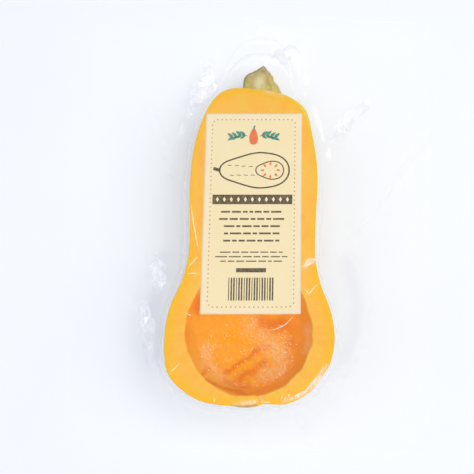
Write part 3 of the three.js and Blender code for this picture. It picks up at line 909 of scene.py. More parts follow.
class Pouch:
    """Rings of the film, as arrays of points in the object's frame."""

    def __init__(self, flesh, looks):
        self.looks = looks
        tent = reach(flesh.film, flesh.turns, -MM, True) - TENT_IN
        self.rim = soften(np.maximum(flesh.outline + looks.cling, tent), 1.2)
        gather = flesh.stray(5 * MM, 7)
        self.seam_out = SEAM_OUT * (1 + 0.35 * gather) + self.rim - flesh.outline - looks.cling
        self.over = self.over_cut(flesh)
        shoulder = []
        for share in np.linspace(0, 1, SHOULDER_RINGS + 1)[1:]:
            drop = looks.cling - SEAM_DROP * smooth(share, 0, 1)
            shoulder.append(flesh.ring(self.rim + self.seam_out * share, drop))
        skirt = self.skirt(to_world(shoulder[-1]))
        pocket = self.pocket(flesh)
        self.front = np.concatenate([to_world(self.over), to_world(np.stack(shoulder)), skirt])
        out = np.linalg.norm(skirt[..., :2] - skirt[0, :, :2], axis=-1)
        near = np.exp(-((out / GATHER_REACH) ** 1.5))
        rise = np.linspace(0, 0.5, SHOULDER_RINGS)[:, None] * np.ones(FILM_RAYS)
        self.gather = np.concatenate([np.zeros((OVER_RINGS, FILM_RAYS)), rise, near])
        self.back = np.concatenate([skirt[::-1] - np.array([0, 0, SHEET_GAP]), pocket[::-1]])

    def over_cut(self, flesh):
        """Film over the cut face, drawn into the cavity below the label."""
        shares = np.linspace(0.015, 1, OVER_RINGS) ** 0.9
        rings = np.stack([flesh.ring(s * self.rim, 0) for s in shares])
        lift = self.looks.cling - CAD_GAP - CAD_WALL
        level = heights(flesh.film, rings[..., 0], rings[..., 1], True, self.looks.cling - lift) + lift
        level = soften_rings(level, 4, 1.5)
        level[shares > 0.9] = self.looks.cling
        sunk = smooth(-level / MM, 0.5, 4)
        rings[..., 2] = level + sunk * 0.25 * MM * (creases(rings, 9 * MM, 4) - 0.5)
        return rings

    def edge(self, seam):
        """Where each ray leaves the pouch, a rectangle with rounded corners."""
        low, high = (np.array(corner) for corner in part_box("front_film"))
        half = (high - low)[:2] / 2
        centre = (high + low)[:2] / 2
        start = np.array(CUT.translation)[:2]
        way = seam[:, :2] - start
        near = np.ones(FILM_RAYS)
        far = np.full(FILM_RAYS, 12.0)
        for _ in range(EDGE_HALVINGS):
            middle = (near + far) / 2
            place = np.abs((start + way * middle[:, None] - centre) / half)
            inside = (place**EDGE_POWER).sum(axis=1) < 1
            near = np.where(inside, middle, near)
            far = np.where(inside, far, middle)
        return start + way * near[:, None]

    def skirt(self, seam):
        """Doubled film from the seam to the edge: the frame's fall, with pleats and crumples."""
        edge = self.edge(seam)
        tree = tree_in("front_film", Matrix.Identity(4))
        shares = np.linspace(0, 1, SKIRT_RINGS + 1)[1:] ** 1.15
        flat = np.stack([seam[:, :2] + (edge - seam[:, :2]) * s for s in shares])
        inner = np.stack([seam[:, :2] + (edge - seam[:, :2]) * min(s, 0.985) for s in shares])
        guess = seam[:, 2] * (1 - shares[:, None]) ** 1.6 + 6 * MM
        level = heights(tree, inner[..., 0], inner[..., 1], True, guess) - CAD_WALL / 2
        level = soften_rings(level, 7, 2)
        level = seam[:, 2] + (level - seam[:, 2]) * smooth(shares, 0, 0.16)[:, None]
        points = np.dstack([flat, level])
        turn = np.arctan2(flat[..., 1] - seam[:, 1].mean(), flat[..., 0])
        round_about = np.dstack([np.cos(turn), np.sin(turn), 0.35 * shares[:, None] * np.ones(FILM_RAYS)])
        fold = 1 - np.abs(grain(round_about, 0.16, 6, 2)) * 2
        wave = grain(round_about, 0.5, 8, 1)
        rise = smooth(shares, 0, 0.22)[:, None]
        calm = rise * (1 - 0.85 * smooth(shares, 0.2, 0.65)[:, None])
        x, y = flat[..., 0], flat[..., 1]
        spread = on_plane(x, y)
        crumple = creases(spread, 21 * MM, 1) + 0.4 * creases(spread, 8 * MM, 2) - 0.6
        points[..., 2] += self.looks.pleat * (fold * calm + 0.9 * wave * rise)
        points[..., 2] += self.looks.crumple * crumple * (0.15 * rise + 0.85 * calm)
        shards = facets(x, y, 9 * MM, 31) + 0.5 * facets(x, y, 5 * MM, 33)
        points[..., 2] += self.looks.shard * shards * film_marks(WHITENED_AND_GLINTS, points) * rise
        points[..., 2] = np.maximum(points[..., 2], SKIRT_LEAST + 0.4 * MM * crumple)
        return points

    def pocket(self, flesh):
        """Back film round the squash, from under its keel out to the seam."""
        tree = tree_in("back_film", CUT)
        seam_reach = self.rim + self.seam_out
        shares = np.cos(np.radians(np.linspace(89, 4, POCKET_RINGS)))
        rings = np.stack([flesh.ring(s * seam_reach, 0) for s in shares])
        level = heights(tree, rings[..., 0], rings[..., 1], False, -SEAM_DROP) + CAD_WALL
        rings[..., 2] = soften_rings(level, 4, 1.5)
        world = to_world(rings)
        ripple = creases(world, 14 * MM, 5) - 0.4
        world[..., 2] -= 0.5 * MM * ripple * smooth(shares, 0.2, 0.5)[:, None]
        world[..., 2] = np.maximum(world[..., 2], POCKET_LEAST)
        seam = to_world(flesh.ring(seam_reach, self.looks.cling - SEAM_DROP))
        seam[:, 2] -= SHEET_GAP
        return np.concatenate([world, seam[None]])


def fog(x, y):
    """How much the film is fogged over the cavity, from 0 to 1."""
    made = np.zeros_like(x)
    for at, size in MIST:
        made = np.maximum(made, spot(x, y, at, (size, size)))
    return np.clip(made * (1 + 0.9 * grain(on_plane(x, y), 4 * MM, 9)), 0, 1)


def pouch_mesh(pouch, looks, material):
    rings = np.concatenate([pouch.front, pouch.back])
    points = capped(rings[0].mean(axis=0), rings.reshape(-1, 3), rings[-1].mean(axis=0))
    made = new_object("film_pouch", points, ring_faces(len(rings), FILM_RAYS), material)
    low, high = (np.array(corner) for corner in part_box("front_film"))
    off = ((high - low)[:2] / 2 - np.abs(points[:, :2] - (high + low)[:2] / 2)).min(axis=1) - SEAL_IN
    band = smooth(off, 0, 0.6 * MM) * (1 - smooth(off, looks.seal + 0.4 * MM, looks.seal + 1.0 * MM))
    set_attribute(made, "seal", band)
    front = pouch.front
    # whitened film: partly stress whitening, partly painted glints; the shoulder's bend gets a painted
    # highlight line
    whitening_and_glint = film_marks(WHITENED_AND_GLINTS, front) * (0.6 + 0.4 * facets(front[..., 0], front[..., 1], 5 * MM, 35))
    bend = slice(OVER_RINGS, OVER_RINGS + BEND_RINGS)
    whitening_and_glint[bend] = np.maximum(whitening_and_glint[bend], BEND_HIGHLIGHT)
    over = pouch.over
    marks = {
        "mist": fog(over[..., 0], over[..., 1]) * (over[..., 2] < -MM),
        "whitening_and_glint": whitening_and_glint,
        "ply_and_shade": film_marks(PLIES_AND_SHADE, front),
        "gather": np.clip(pouch.gather, 0, 1),
    }
    for name, values in marks.items():
        spread = np.zeros(len(points))
        spread[1 : 1 + values.size] = values.ravel()
        set_attribute(made, name, spread)
    return made


def film_material():
    """Nylon and polyethylene film: clear and glossy, a little milky, with fine crinkles that glint."""
    material, tree = new_material("Clear vacuum film")
    place = add_node(tree, "ShaderNodeTexCoord", out="Object")
    read = {
        name: add_node(tree, "ShaderNodeAttribute", out="Fac", attribute_name=name)
        for name in ("seal", "mist", "whitening_and_glint", "gather", "ply_and_shade")
    }
    inputs = {"Vector": place, "Scale": 1 / (3.5 * MM), "Detail": 1.0}
    crinkle = add_node(tree, "ShaderNodeTexNoise", inputs)
    bump = add_node(tree, "ShaderNodeBump", {"Height": crinkle, "Strength": 0.35, "Distance": 0.3 * MM})
    milky = add_node(tree, "ShaderNodeMapRange", {0: read["seal"], 3: 0.003, 4: 0.006})
    add = {"operation": "MULTIPLY_ADD", "use_clamp": True}
    # white milk where the film is whitened: stress whitening and painted glints
    for name, share in (("gather", 0.1), ("mist", 0.03), ("whitening_and_glint", 0.3)):
        milky = add_node(tree, "ShaderNodeMath", {0: read[name], 1: share, 2: milky}, **add)
    # the fog's warm tint over the cavity is a painted glow of the orange flesh under it
    inputs = {0: read["mist"], 6: linear("#fafbfd"), 7: linear("#fde9d2")}
    tint = add_node(tree, "ShaderNodeMix", inputs, data_type="RGBA", out=2)
    # grey tint of folded film: partly its extra layers, partly painted shade
    inputs = {0: read["ply_and_shade"], 6: (1, 1, 1, 1), 7: linear("#f8f8fa")}
    ply_shade_tint = add_node(tree, "ShaderNodeMix", inputs, data_type="RGBA", out=2)
    clear = add_node(tree, "ShaderNodeBsdfTransparent", {"Color": ply_shade_tint})
    milk = add_node(tree, "ShaderNodeBsdfDiffuse", {"Color": tint})
    body = add_node(tree, "ShaderNodeMixShader", {0: milky, 1: clear, 2: milk})
    inputs = {"Color": (1, 1, 1, 1), "Roughness": 0.08, "Normal": bump}
    gloss = add_node(tree, "ShaderNodeBsdfGlossy", inputs)
    # A thin sheet mirrors alike from both sides, which the Fresnel node doesn't give
    facing = add_node(tree, "ShaderNodeLayerWeight", {"Blend": 0.5}, out="Facing")
    steep = add_node(tree, "ShaderNodeMath", {0: facing, 1: 5.0}, operation="POWER")
    add = {"operation": "MULTIPLY_ADD"}
    mirror = add_node(tree, "ShaderNodeMath", {0: steep, 1: 0.25, 2: 0.014}, **add)
    mirror = add_node(tree, "ShaderNodeMath", {0: read["whitening_and_glint"], 1: 0.12, 2: mirror}, **add)
    film = add_node(tree, "ShaderNodeMixShader", {0: mirror, 1: body, 2: gloss})
    add_node(tree, "ShaderNodeOutputMaterial", {"Surface": film})
    return material


class SQUASH_OT_pouch(bpy.types.Operator):
    """Builds the front and back sheets of the vacuum pouch, joined along their edge"""

    bl_idname = "squash.pouch"
    bl_label = "Pouch"

    def execute(self, context):
        looks = context.scene.squash_pouch
        made = pouch_mesh(Pouch(Flesh(FILM_RAYS), looks), looks, film_material())
        made.visible_shadow = False  # a white room sends round it what little light it holds back
        finished(made, "clear_film", "front_film", "back_film")
        return {"FINISHED"}


# Crumples, folds and drops of the film

# Folds drawn as cream ribs: partly stress whitening, partly painted glints
FOLDS = (
    ((-43.5, 92.5), (-40.3, 74.3), (-35.9, 54.0)),
    ((-35.9, 52.8), (-40.0, 47.7), (-44.1, 43.3)),
    ((-44.0, 39.4), (-39.5, 39.9), (-35.6, 39.2)),
    ((-44.3, 11.6), (-39.4, 10.0)),
    ((-54.0, -30.4), (-50.0, -26.3), (-46.5, -22.7)),
    ((-22.6, -45.0), (-21.9, -49.0)),
    ((37.9, 45.6), (42.0, 48.6), (45.4, 49.7)),
    ((38.9, 46.9), (41.0, 50.5), (42.7, 53.2)),
    ((37.3, 32.5), (41.5, 26.9), (45.3, 31.5), (49.1, 34.9)),
    ((31.5, 12.2), (28.5, 8.2), (24.5, 4.6), (19.0, 2.0), (12.6, 0.4)),
    ((26.5, -46.9), (33.6, -43.2), (41.4, -38.0), (45.2, -33.7), (49.2, -27.9), (53.2, -22.0)),
    ((22.9, -45.6), (24.6, -42.6)),
    ((27.6, -44.2), (29.0, -41.8)),
    ((24.9, -46.2), (26.3, -43.4)),
    ((8.7, -47.2), (12.1, -47.7), (16.2, -47.6)),
)  # places over the cut face on lines from the camera, in mm
FOLD_STEP = 0.8 * MM  # between the sections of a fold
CRUMPLE_STEP = 5.0  # between corners of the facets in crumpled film, in mm
CRUMPLE_LEAST = 1.2  # half width of the narrowest whitened film with facets, in mm
CRUMPLE_SHARE = 0.75  # strength of the weakest whitened film with facets
CRUMPLE_HEIGHT = 2.2 * MM
CRUMPLE_WALL = 0.06 * MM
CRUMPLE_SEED = 7
DROP_REACH = 42  # of the patch where drops may lie, across and down from the cut frame's origin, in mm
DROP_TOP = 12 * MM  # how far it reaches up, where the label covers it
DROP_GRID = 1.5  # between the patch's points, in mm
DROP_UNDER = 0.25 * MM  # of the drops from the film's face
DROP_FLAT = 0.15  # height of a drop over its width, as the film presses it
DROP_DENSITY = 5e5  # in a square metre of full mist
DROP_SEED = 4


def film_tree():
    """Search tree of the pouch in the cut frame."""
    film = bpy.data.objects.get("film_pouch")
    if film is None:
        raise RuntimeError("the pouch comes before its crumples, folds and drops")
    return search_tree(film.data, CUT)


def cast_on_film(film, places):
    """Where lines from the camera through places of the cut face, in mm, meet the film, and their ways."""
    made = []
    for x, y in places:
        way = (Vector((x * MM, y * MM, 0)) - EYE).normalized()
        made.append((film.ray_cast(EYE, way)[0], way))
    return made


def crumpled_strip(path, width, rng):
    """Facets along a path: corners in mm, how far each rises, faces and how white each is, from 0 to 1."""
    path = np.array(path)
    along = np.concatenate([[0], np.cumsum(np.hypot(*np.diff(path, axis=0).T))])
    rows = round(along[-1] / CRUMPLE_STEP) + 2
    columns = round(2.2 * width / CRUMPLE_STEP) + 2
    steps = np.linspace(0, along[-1], rows)
    middle = np.stack([np.interp(steps, along, path[:, i]) for i in (0, 1)], axis=1)
    run = np.gradient(middle, axis=0)
    run = run / np.hypot(*run.T)[:, None]
    side = np.stack([-run[:, 1], run[:, 0]], axis=1)
    taper = 0.45 + 0.55 * np.sin(np.linspace(0.1, 0.9, rows) * math.pi)
    spread = 1.25 * width * taper * rng.uniform(0.7, 1.15, rows)
    shift = rng.uniform(-0.32, 0.32, (2, rows, columns))
    off = spread[:, None] * (np.linspace(-1, 1, columns) + shift[0] * 2 / (columns - 1))
    place = middle[:, None] + side[:, None] * off[..., None]
    place = place + run[:, None] * (shift[1] * CRUMPLE_STEP)[..., None]
    rise = np.zeros((rows, columns))
    rise[1:-1, 1:-1] = rng.uniform(0.1, 1, (rows - 2, columns - 2))
    faces = []
    whitening_and_glint = []
    for r in range(rows - 1):
        for c in range(columns - 1):
            a = r * columns + c
            b = a + columns
            if rng.random() < 0.5:
                faces += [(a, b + 1, a + 1), (a, b, b + 1)]
            else:
                faces += [(a, b, a + 1), (a + 1, b, b + 1)]
            out = max(abs((2 * r + 1) / (rows - 1) - 1), abs((2 * c + 1) / (columns - 1) - 1))
            whitening_and_glint += list(rng.uniform(0.35, 1, 2) * (1 - 0.55 * out**2))
    return place.reshape(-1, 2), rise.ravel(), faces, whitening_and_glint


def crumple_material():
    """Film crushed into small flat facets, all glossy: some white, partly from stretching and partly as
    painted glints, some almost clear.
    """
    material, tree = new_material("Crumpled film")
    whitening_and_glint = add_node(tree, "ShaderNodeAttribute", out="Fac", attribute_name="whitening_and_glint")
    share = add_node(tree, "ShaderNodeMapRange", {0: whitening_and_glint, 1: 0.1, 2: 0.9, 3: 0.0, 4: 0.2})
    mirror = add_node(tree, "ShaderNodeMapRange", {0: whitening_and_glint, 1: 0.2, 2: 0.9, 3: 0.0, 4: 0.34})
    clear = add_node(tree, "ShaderNodeBsdfTransparent", {"Color": linear("#fcfcfd")})
    milk = add_node(tree, "ShaderNodeBsdfDiffuse", {"Color": linear("#fbfcfe")})
    body = add_node(tree, "ShaderNodeMixShader", {0: share, 1: clear, 2: milk})
    gloss = add_node(tree, "ShaderNodeBsdfGlossy", {"Color": (1, 1, 1, 1), "Roughness": 0.25})
    film = add_node(tree, "ShaderNodeMixShader", {0: mirror, 1: body, 2: gloss})
    add_node(tree, "ShaderNodeOutputMaterial", {"Surface": film})
    return material


class SQUASH_OT_crumples(bpy.types.Operator):
    """Builds the sharp facets of the film where it is crushed round the squash"""

    bl_idname = "squash.crumples"
    bl_label = "Crumples"

    def execute(self, context):
        film = film_tree()
        rng = np.random.default_rng(CRUMPLE_SEED)
        points = []
        faces = []
        whitening_and_glint = []
        for path, width, share in WHITENED_AND_GLINTS:
            if width < CRUMPLE_LEAST or share < CRUMPLE_SHARE:
                continue
            places, rises, strip, tones = crumpled_strip(path, width, rng)
            first = len(points)
            for (hit, way), rise in zip(cast_on_film(film, places), rises):
                points.append(hit - way * (2 * CRUMPLE_WALL + rise * CRUMPLE_HEIGHT))
            faces += [tuple(first + corner for corner in face) for face in strip]
            whitening_and_glint += [share * tone for tone in tones]
        made = new_object("film_crumples", to_world(points), faces, crumple_material())
        made.data.shade_flat()
        set_attribute(made, "whitening_and_glint", whitening_and_glint, "FACE")
        give_wall(made, CRUMPLE_WALL)
        made.visible_shadow = False  # as with the pouch
        finished(made, "clear_film")
        return {"FINISHED"}


def fold_growth():
    """Tapered ribs along paths."""
    sizes = {"Half width": "NodeSocketFloat", "Step": "NodeSocketFloat", "Film": "NodeSocketMaterial"}
    tree, given = new_growth("Film folds", sizes)
    path = add_node(tree, "GeometryNodeMeshToCurve", {"Mesh": given["Geometry"]})
    inputs = {"Curve": path, "Length": given["Step"]}
    path = add_node(tree, "GeometryNodeResampleCurve", inputs, mode="LENGTH")
    along = add_node(tree, "GeometryNodeSplineParameter", out="Factor")
    turn = add_node(tree, "ShaderNodeMath", {0: along, 1: math.pi}, operation="MULTIPLY")
    taper = add_node(tree, "ShaderNodeMath", {0: turn}, operation="SINE")
    width = add_node(tree, "ShaderNodeMath", {0: taper, 1: given["Half width"]}, operation="MULTIPLY")
    path = add_node(tree, "GeometryNodeSetCurveNormal", {"Curve": path}, mode="Z_UP")
    section = add_node(tree, "GeometryNodeCurvePrimitiveCircle", {"Resolution": 8, "Radius": 1.0})
    section = add_node(tree, "GeometryNodeTransform", {"Geometry": section, "Scale": (1, 0.35, 1)})
    inputs = {"Curve": path, "Profile Curve": section, "Scale": width, "Fill Caps": True}
    rib = add_node(tree, "GeometryNodeCurveToMesh", inputs)
    end_growth(tree, rib, given["Film"])
    return tree


def fold_material():
    """Film that has been folded sharply, and glossy: cream white along the fold, partly from stretching and
    partly a painted glint.
    """
    material, tree = new_material("Whitened film with painted glint")
    place = add_node(tree, "ShaderNodeTexCoord", out="Object")
    patch = add_node(tree, "ShaderNodeTexNoise", {"Vector": place, "Scale": 1 / (2.5 * MM), "Detail": 1.0})
    share = add_node(tree, "ShaderNodeMapRange", {0: patch, 1: 0.3, 2: 0.7, 3: 0.25, 4: 0.65})
    clear = add_node(tree, "ShaderNodeBsdfTransparent", {"Color": (1, 1, 1, 1)})
    inputs = {"Base Color": linear("#ffedcc"), "Roughness": 0.4}
    whitening_and_glint = add_node(tree, "ShaderNodeBsdfPrincipled", inputs)
    film = add_node(tree, "ShaderNodeMixShader", {0: share, 1: clear, 2: whitening_and_glint})
    add_node(tree, "ShaderNodeOutputMaterial", {"Surface": film})
    return material


class SQUASH_OT_folds(bpy.types.Operator):
    """Builds the small sharp folds of the film over the flesh"""

    bl_idname = "squash.folds"
    bl_label = "Folds"

    def execute(self, context):
        looks = context.scene.squash_pouch
        film = film_tree()
        points = []
        edges = []
        for fold in FOLDS:
            first = len(points)
            points += [hit for hit, _ in cast_on_film(film, fold)]
            edges += [(i, i + 1) for i in range(first, len(points) - 1)]
        made = new_object("film_folds", points, (), edges=edges)
        grow(made, fold_growth(), {"Half width": looks.crease, "Step": FOLD_STEP, "Film": fold_material()})
        made.data.shade_smooth()
        made.data.transform(CUT)
        made.visible_shadow = False  # as with the pouch
        finished(made, "clear_film")
        return {"FINISHED"}


def drop_growth():
    """Drops scattered over a patch, thick where it is fogged."""
    sizes = {
        "Density": "NodeSocketFloat",
        "Smallest": "NodeSocketFloat",
        "Largest": "NodeSocketFloat",
        "Seed": "NodeSocketInt",
        "Water": "NodeSocketMaterial",
    }
    tree, given = new_growth("Drops", sizes)
    mist = add_node(tree, "GeometryNodeInputNamedAttribute", {"Name": "mist"}, data_type="FLOAT")
    density = add_node(tree, "ShaderNodeMath", {0: mist, 1: given["Density"]}, operation="MULTIPLY")
    inputs = {"Mesh": given["Geometry"], "Density": density, "Seed": given["Seed"]}
    spots = add_node(tree, "GeometryNodeDistributePointsOnFaces", inputs, distribute_method="RANDOM")
    bead = add_node(tree, "GeometryNodeMeshIcoSphere", {"Radius": 1.0, "Subdivisions": 1})
    inputs = {2: given["Smallest"], 3: given["Largest"], "Seed": given["Seed"]}
    size = add_node(tree, "FunctionNodeRandomValue", inputs, out=1, data_type="FLOAT")
    flat = add_node(tree, "ShaderNodeMath", {0: size, 1: DROP_FLAT}, operation="MULTIPLY")
    size = add_node(tree, "ShaderNodeCombineXYZ", {"X": size, "Y": size, "Z": flat})
    turn = spots.node.outputs["Rotation"]
    inputs = {"Points": spots, "Instance": bead, "Rotation": turn, "Scale": size}
    drops = add_node(tree, "GeometryNodeInstanceOnPoints", inputs)
    end_growth(tree, drops, given["Water"])
    return tree


def drop_material():
    """Squash juice under film, drawn as small cream beads brighter than what lies behind them: painted
    highlights of clear drops.
    """
    material, tree = new_material("Juice drops")
    place = add_node(tree, "ShaderNodeTexCoord", out="Object")
    patch = add_node(tree, "ShaderNodeTexNoise", {"Vector": place, "Scale": 1 / (5 * MM), "Detail": 1.0})
    share = add_node(tree, "ShaderNodeMapRange", {0: patch, 1: 0.35, 2: 0.65, 3: 0.35, 4: 0.65})
    clear = add_node(tree, "ShaderNodeBsdfTransparent", {"Color": (1, 1, 1, 1)})
    # the cream colour is a painted highlight of each clear drop
    bead = add_node(tree, "ShaderNodeBsdfPrincipled", {"Base Color": linear("#ffdcaa"), "Roughness": 0.25})
    drop = add_node(tree, "ShaderNodeMixShader", {0: share, 1: clear, 2: bead})
    add_node(tree, "ShaderNodeOutputMaterial", {"Surface": drop})
    return material


class SQUASH_OT_drops(bpy.types.Operator):
    """Scatters drops of juice under the film in the cavity"""

    bl_idname = "squash.drops"
    bl_label = "Drops"

    def execute(self, context):
        looks = context.scene.squash_pouch
        film = film_tree()
        steps = np.arange(-DROP_REACH, DROP_REACH + 0.1, DROP_GRID) * MM
        x, y = np.meshgrid(steps, steps[steps < DROP_TOP])
        z = heights(film, x, y, True, 0) - DROP_UNDER
        points = np.stack([x, y, z], axis=-1).reshape(-1, 3)
        made = new_object("juice_drops", points, grid_faces(*x.shape))
        low = smooth(-z / MM, 0.8, 2.8)
        set_attribute(made, "mist", low * (0.2 + fog(x, y)))
        values = {
            "Density": DROP_DENSITY,
            "Smallest": looks.drop_small,
            "Largest": looks.drop_large,
            "Seed": DROP_SEED,
            "Water": drop_material(),
        }
        grow(made, drop_growth(), values)
        made.data.shade_flat()
        made.data.transform(CUT)
        made.visible_shadow = False  # water this thin holds back no light
        finished(made, "clear_film")
        return {"FINISHED"}


# Label

LABEL_LIFT = 0.72 * MM  # of the paper over the cut face, on the film
LABEL_SKEW = 0.0235  # its right edge sits higher, as the tight film pulls it
LABEL_STRETCH = 1.0087
LABEL_DOWN = 0.46 * MM
LABEL_COLUMNS = 42
LABEL_ROWS = 84
CORNER_LIFT = 0.9 * MM  # of its lower right corner
INK_WALL = 0.05 * MM  # thick enough to stay clear of the paper in a render


def label_box():
    """Lowest and highest corner of the label in the cut frame."""
    inverse = CUT.inverted()
    corners = np.array([inverse @ v.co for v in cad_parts["label"].data.vertices])
    return corners.min(axis=0), corners.max(axis=0)


def paper_points(x, y, lift):
    """Points on the label, with y up the sheet from its middle. Its lower right corner lifts a little."""
    low, high = label_box()
    size = high - low
    corner = smooth(x, 0.25 * size[0], 0.5 * size[0]) * smooth(-y, 0.4 * size[1], 0.5 * size[1])
    z = LABEL_LIFT + lift + CORNER_LIFT * corner
    centre = (low + high) / 2
    along = y * LABEL_STRETCH + LABEL_SKEW * x - LABEL_DOWN
    return to_world(np.stack([x + centre[0], along + centre[1], z * np.ones_like(x)], axis=-1))


def paper_mesh(looks, material):
    low, high = label_box()
    size = (high - low)[:2]
    across = np.linspace(-0.5, 0.5, LABEL_COLUMNS + 1) * size[0]
    along = np.linspace(-0.5, 0.5, LABEL_ROWS + 1) * size[1]
    x, y = np.meshgrid(across, along)
    made = new_object("label_paper", paper_points(x, y, 0).reshape(-1, 3), grid_faces(*x.shape), material)
    off = np.minimum(size[0] / 2 - np.abs(x), size[1] / 2 - np.abs(y))
    set_attribute(made, "margin", 1 - smooth(off.ravel(), looks.inset - 0.6 * MM, looks.inset + 0.6 * MM))
    give_wall(made, looks.wall)
    return made


def paper_material(looks):
    """Coated label stock: smooth cream paper with a faint parchment mottling printed on it."""
    material, tree = new_material("Coated label paper")
    place = add_node(tree, "ShaderNodeTexCoord", out="Object")
    margin = add_node(tree, "ShaderNodeAttribute", out="Fac", attribute_name="margin")
    cloud = add_node(tree, "ShaderNodeTexNoise", {"Vector": place, "Scale": 1 / (14 * MM), "Detail": 3.0})
    tooth = add_node(tree, "ShaderNodeTexNoise", {"Vector": place, "Scale": 1 / (0.8 * MM), "Detail": 2.0})
    aged = add_node(tree, "ShaderNodeMapRange", {0: cloud, 1: 0.35, 2: 0.7, 3: 0.0, 4: 0.5})
    speck = add_node(tree, "ShaderNodeMapRange", {0: tooth, 1: 0.4, 2: 0.7, 3: 0.0, 4: 0.1})
    colour = tuple(looks.paper)
    layers = (
        (margin, tuple(looks.margin)),
        (aged, linear("#efdcab")),
        (speck, linear("#d9c48c")),
    )
    for share, over in layers:
        colour = add_node(tree, "ShaderNodeMix", {0: share, 6: colour, 7: over}, data_type="RGBA", out=2)
    bump = add_node(tree, "ShaderNodeBump", {"Height": tooth, "Strength": 0.1, "Distance": 0.05 * MM})
    inputs = {"Base Color": colour, "Roughness": 0.48, "Normal": bump}
    paper = add_node(tree, "ShaderNodeBsdfPrincipled", inputs)
    add_node(tree, "ShaderNodeOutputMaterial", {"Surface": paper})
    return material


class SQUASH_OT_label(bpy.types.Operator):
    """Builds the paper label"""

    bl_idname = "squash.label"
    bl_label = "Label"

    def execute(self, context):
        looks = context.scene.squash_label
        made = paper_mesh(looks, paper_material(looks))
        made.visible_shadow = False  # thin paper lets the light through to the cavity under it
        finished(made, "label_paper", "label")
        return {"FINISHED"}


# Print: plain motifs, with places and sizes in mm from the label's middle

PRINT_SEED = 12
SPRIG_Y = 55.5
MOTIF_Y = 55
DRAWING_Y = 30
BAND = (0, 8.5, 57, 7)
BAND_DIAMONDS = 11
LINES = (
    (5, -0.5, -5.2, 1.3, 50),
    (3, -29.5, -3.2, 0.8, 54),
)  # count, first place, step, height and widest span of the bars in each block
SHORT_BAR = (0, -42.3, 21, 3)
STRIPES = 18
STRIPE_Y = -55.5
STRIPE_HEIGHT = 16


def turned(x, y, turn, shape):
    """Points that lie along and out from a place, turned about it."""
    c = math.cos(turn)
    s = math.sin(turn)
    return [(x + c * along - s * out, y + s * along + c * out) for along, out in shape]


def bar(x, y, width, height):
    corners = ((-1, -1), (1, -1), (1, 1), (-1, 1))
    return [(x + i * width / 2, y + j * height / 2) for i, j in corners]


def pear(x, y, length, width, turn, count=48):
    """Outline of a squash, its neck towards the turn."""
    shape = []
    for i in range(count):
        a = 2 * math.pi * i / count
        waist = 1 - 0.3 * smooth(math.cos(a), -0.2, 0.75)
        out = width / 2 * math.sin(a) * waist * (1 + 0.12 * math.cos(2 * a))
        shape.append((length / 2 * math.cos(a), out))
    return turned(x, y, turn, shape)


def leaf(x, y, length, width, turn, steps=9):
    """Pointed leaf from its foot."""
    shape = []
    for side in (1, -1):
        for i in range(steps):
            share = i / steps if side > 0 else 1 - i / steps
            shape.append((length * share, side * width / 2 * math.sin(math.pi * share**0.8)))
    return turned(x, y, turn, shape)


def strokes(path, width, closed=False):
    """A line of even width as one quad for each of its legs."""
    made = []
    legs = zip(path, path[1:] + path[:1] if closed else path[1:])
    for start, end in legs:
        run = Vector(end) - Vector(start)
        side = Vector((-run.y, run.x)).normalized() * width / 2
        over = run.normalized() * width * 0.2
        a = Vector(start) - over
        b = Vector(end) + over
        made.append([tuple(a - side), tuple(b - side), tuple(b + side), tuple(a + side)])
    return made


def label_print():
    """Shapes of each ink."""
    rng = random.Random(PRINT_SEED)
    brown = []
    green = []
    coral = []
    cream = []
    for side in (1, -1):
        vine = [(side * (4.5 + 1.5 * i), SPRIG_Y + 0.9 * math.sin(0.7 * i)) for i in range(9)]
        green += strokes(vine, 0.5)
        for foot in vine[1::2]:
            green.append(leaf(*foot, 5.2, 2.3, math.radians(90 - side * 52)))
            green.append(leaf(*foot, 4.6, 2.1, math.radians(-90 + side * 58)))
    coral.append(pear(0, MOTIF_Y, 12, 7.4, math.radians(90)))
    green += strokes([(0, MOTIF_Y + 5.6), (0.6, MOTIF_Y + 8.2)], 1.2)

    brown += strokes(pear(1, DRAWING_Y, 50, 30, math.pi), 1.1, closed=True)
    brown += strokes(pear(12, DRAWING_Y, 20, 15.5, math.pi, 30), 0.8, closed=True)
    brown += strokes([(-24, DRAWING_Y), (-28, DRAWING_Y + 1.2)], 2.4)
    for i in range(8):
        a = 2 * math.pi * i / 8
        coral.append(leaf(12.5 + 4.3 * math.cos(a), DRAWING_Y + 3.4 * math.sin(a), 3.0, 1.5, a))
    for i in range(4):
        high = DRAWING_Y + 3.5 - 0.3 * i
        brown += strokes([(-18 + 5 * i, high), (-15.4 + 5 * i, high + 0.3)], 0.5)
        brown += strokes([(-16.5 + 5 * i, DRAWING_Y - 3.5), (-13.9 + 5 * i, DRAWING_Y - 3.8)], 0.5)

    brown.append(bar(*BAND))
    for i in range(BAND_DIAMONDS):
        x = 5 * (i - BAND_DIAMONDS // 2)
        cream.append([(x - 1.1, BAND[1]), (x, BAND[1] - 1.9), (x + 1.1, BAND[1]), (x, BAND[1] + 1.9)])
    for count, first, step, height, widest in LINES:
        for i in range(count):
            span = widest * rng.uniform(0.78, 1)
            x = -span / 2
            while x < span / 2 - 2:
                width = min(rng.uniform(2.5, 8.5), span / 2 - x)
                brown.append(bar(x + width / 2, first + step * i, width, height))
                x += width + 1.3
    brown.append(bar(*SHORT_BAR))
    for i in range(STRIPES):
        brown.append(bar(-15.3 + 1.8 * i, STRIPE_Y, 1.1 if i % 3 else 0.6, STRIPE_HEIGHT))
    return {"brown": brown, "green": green, "coral": coral, "cream": cream}


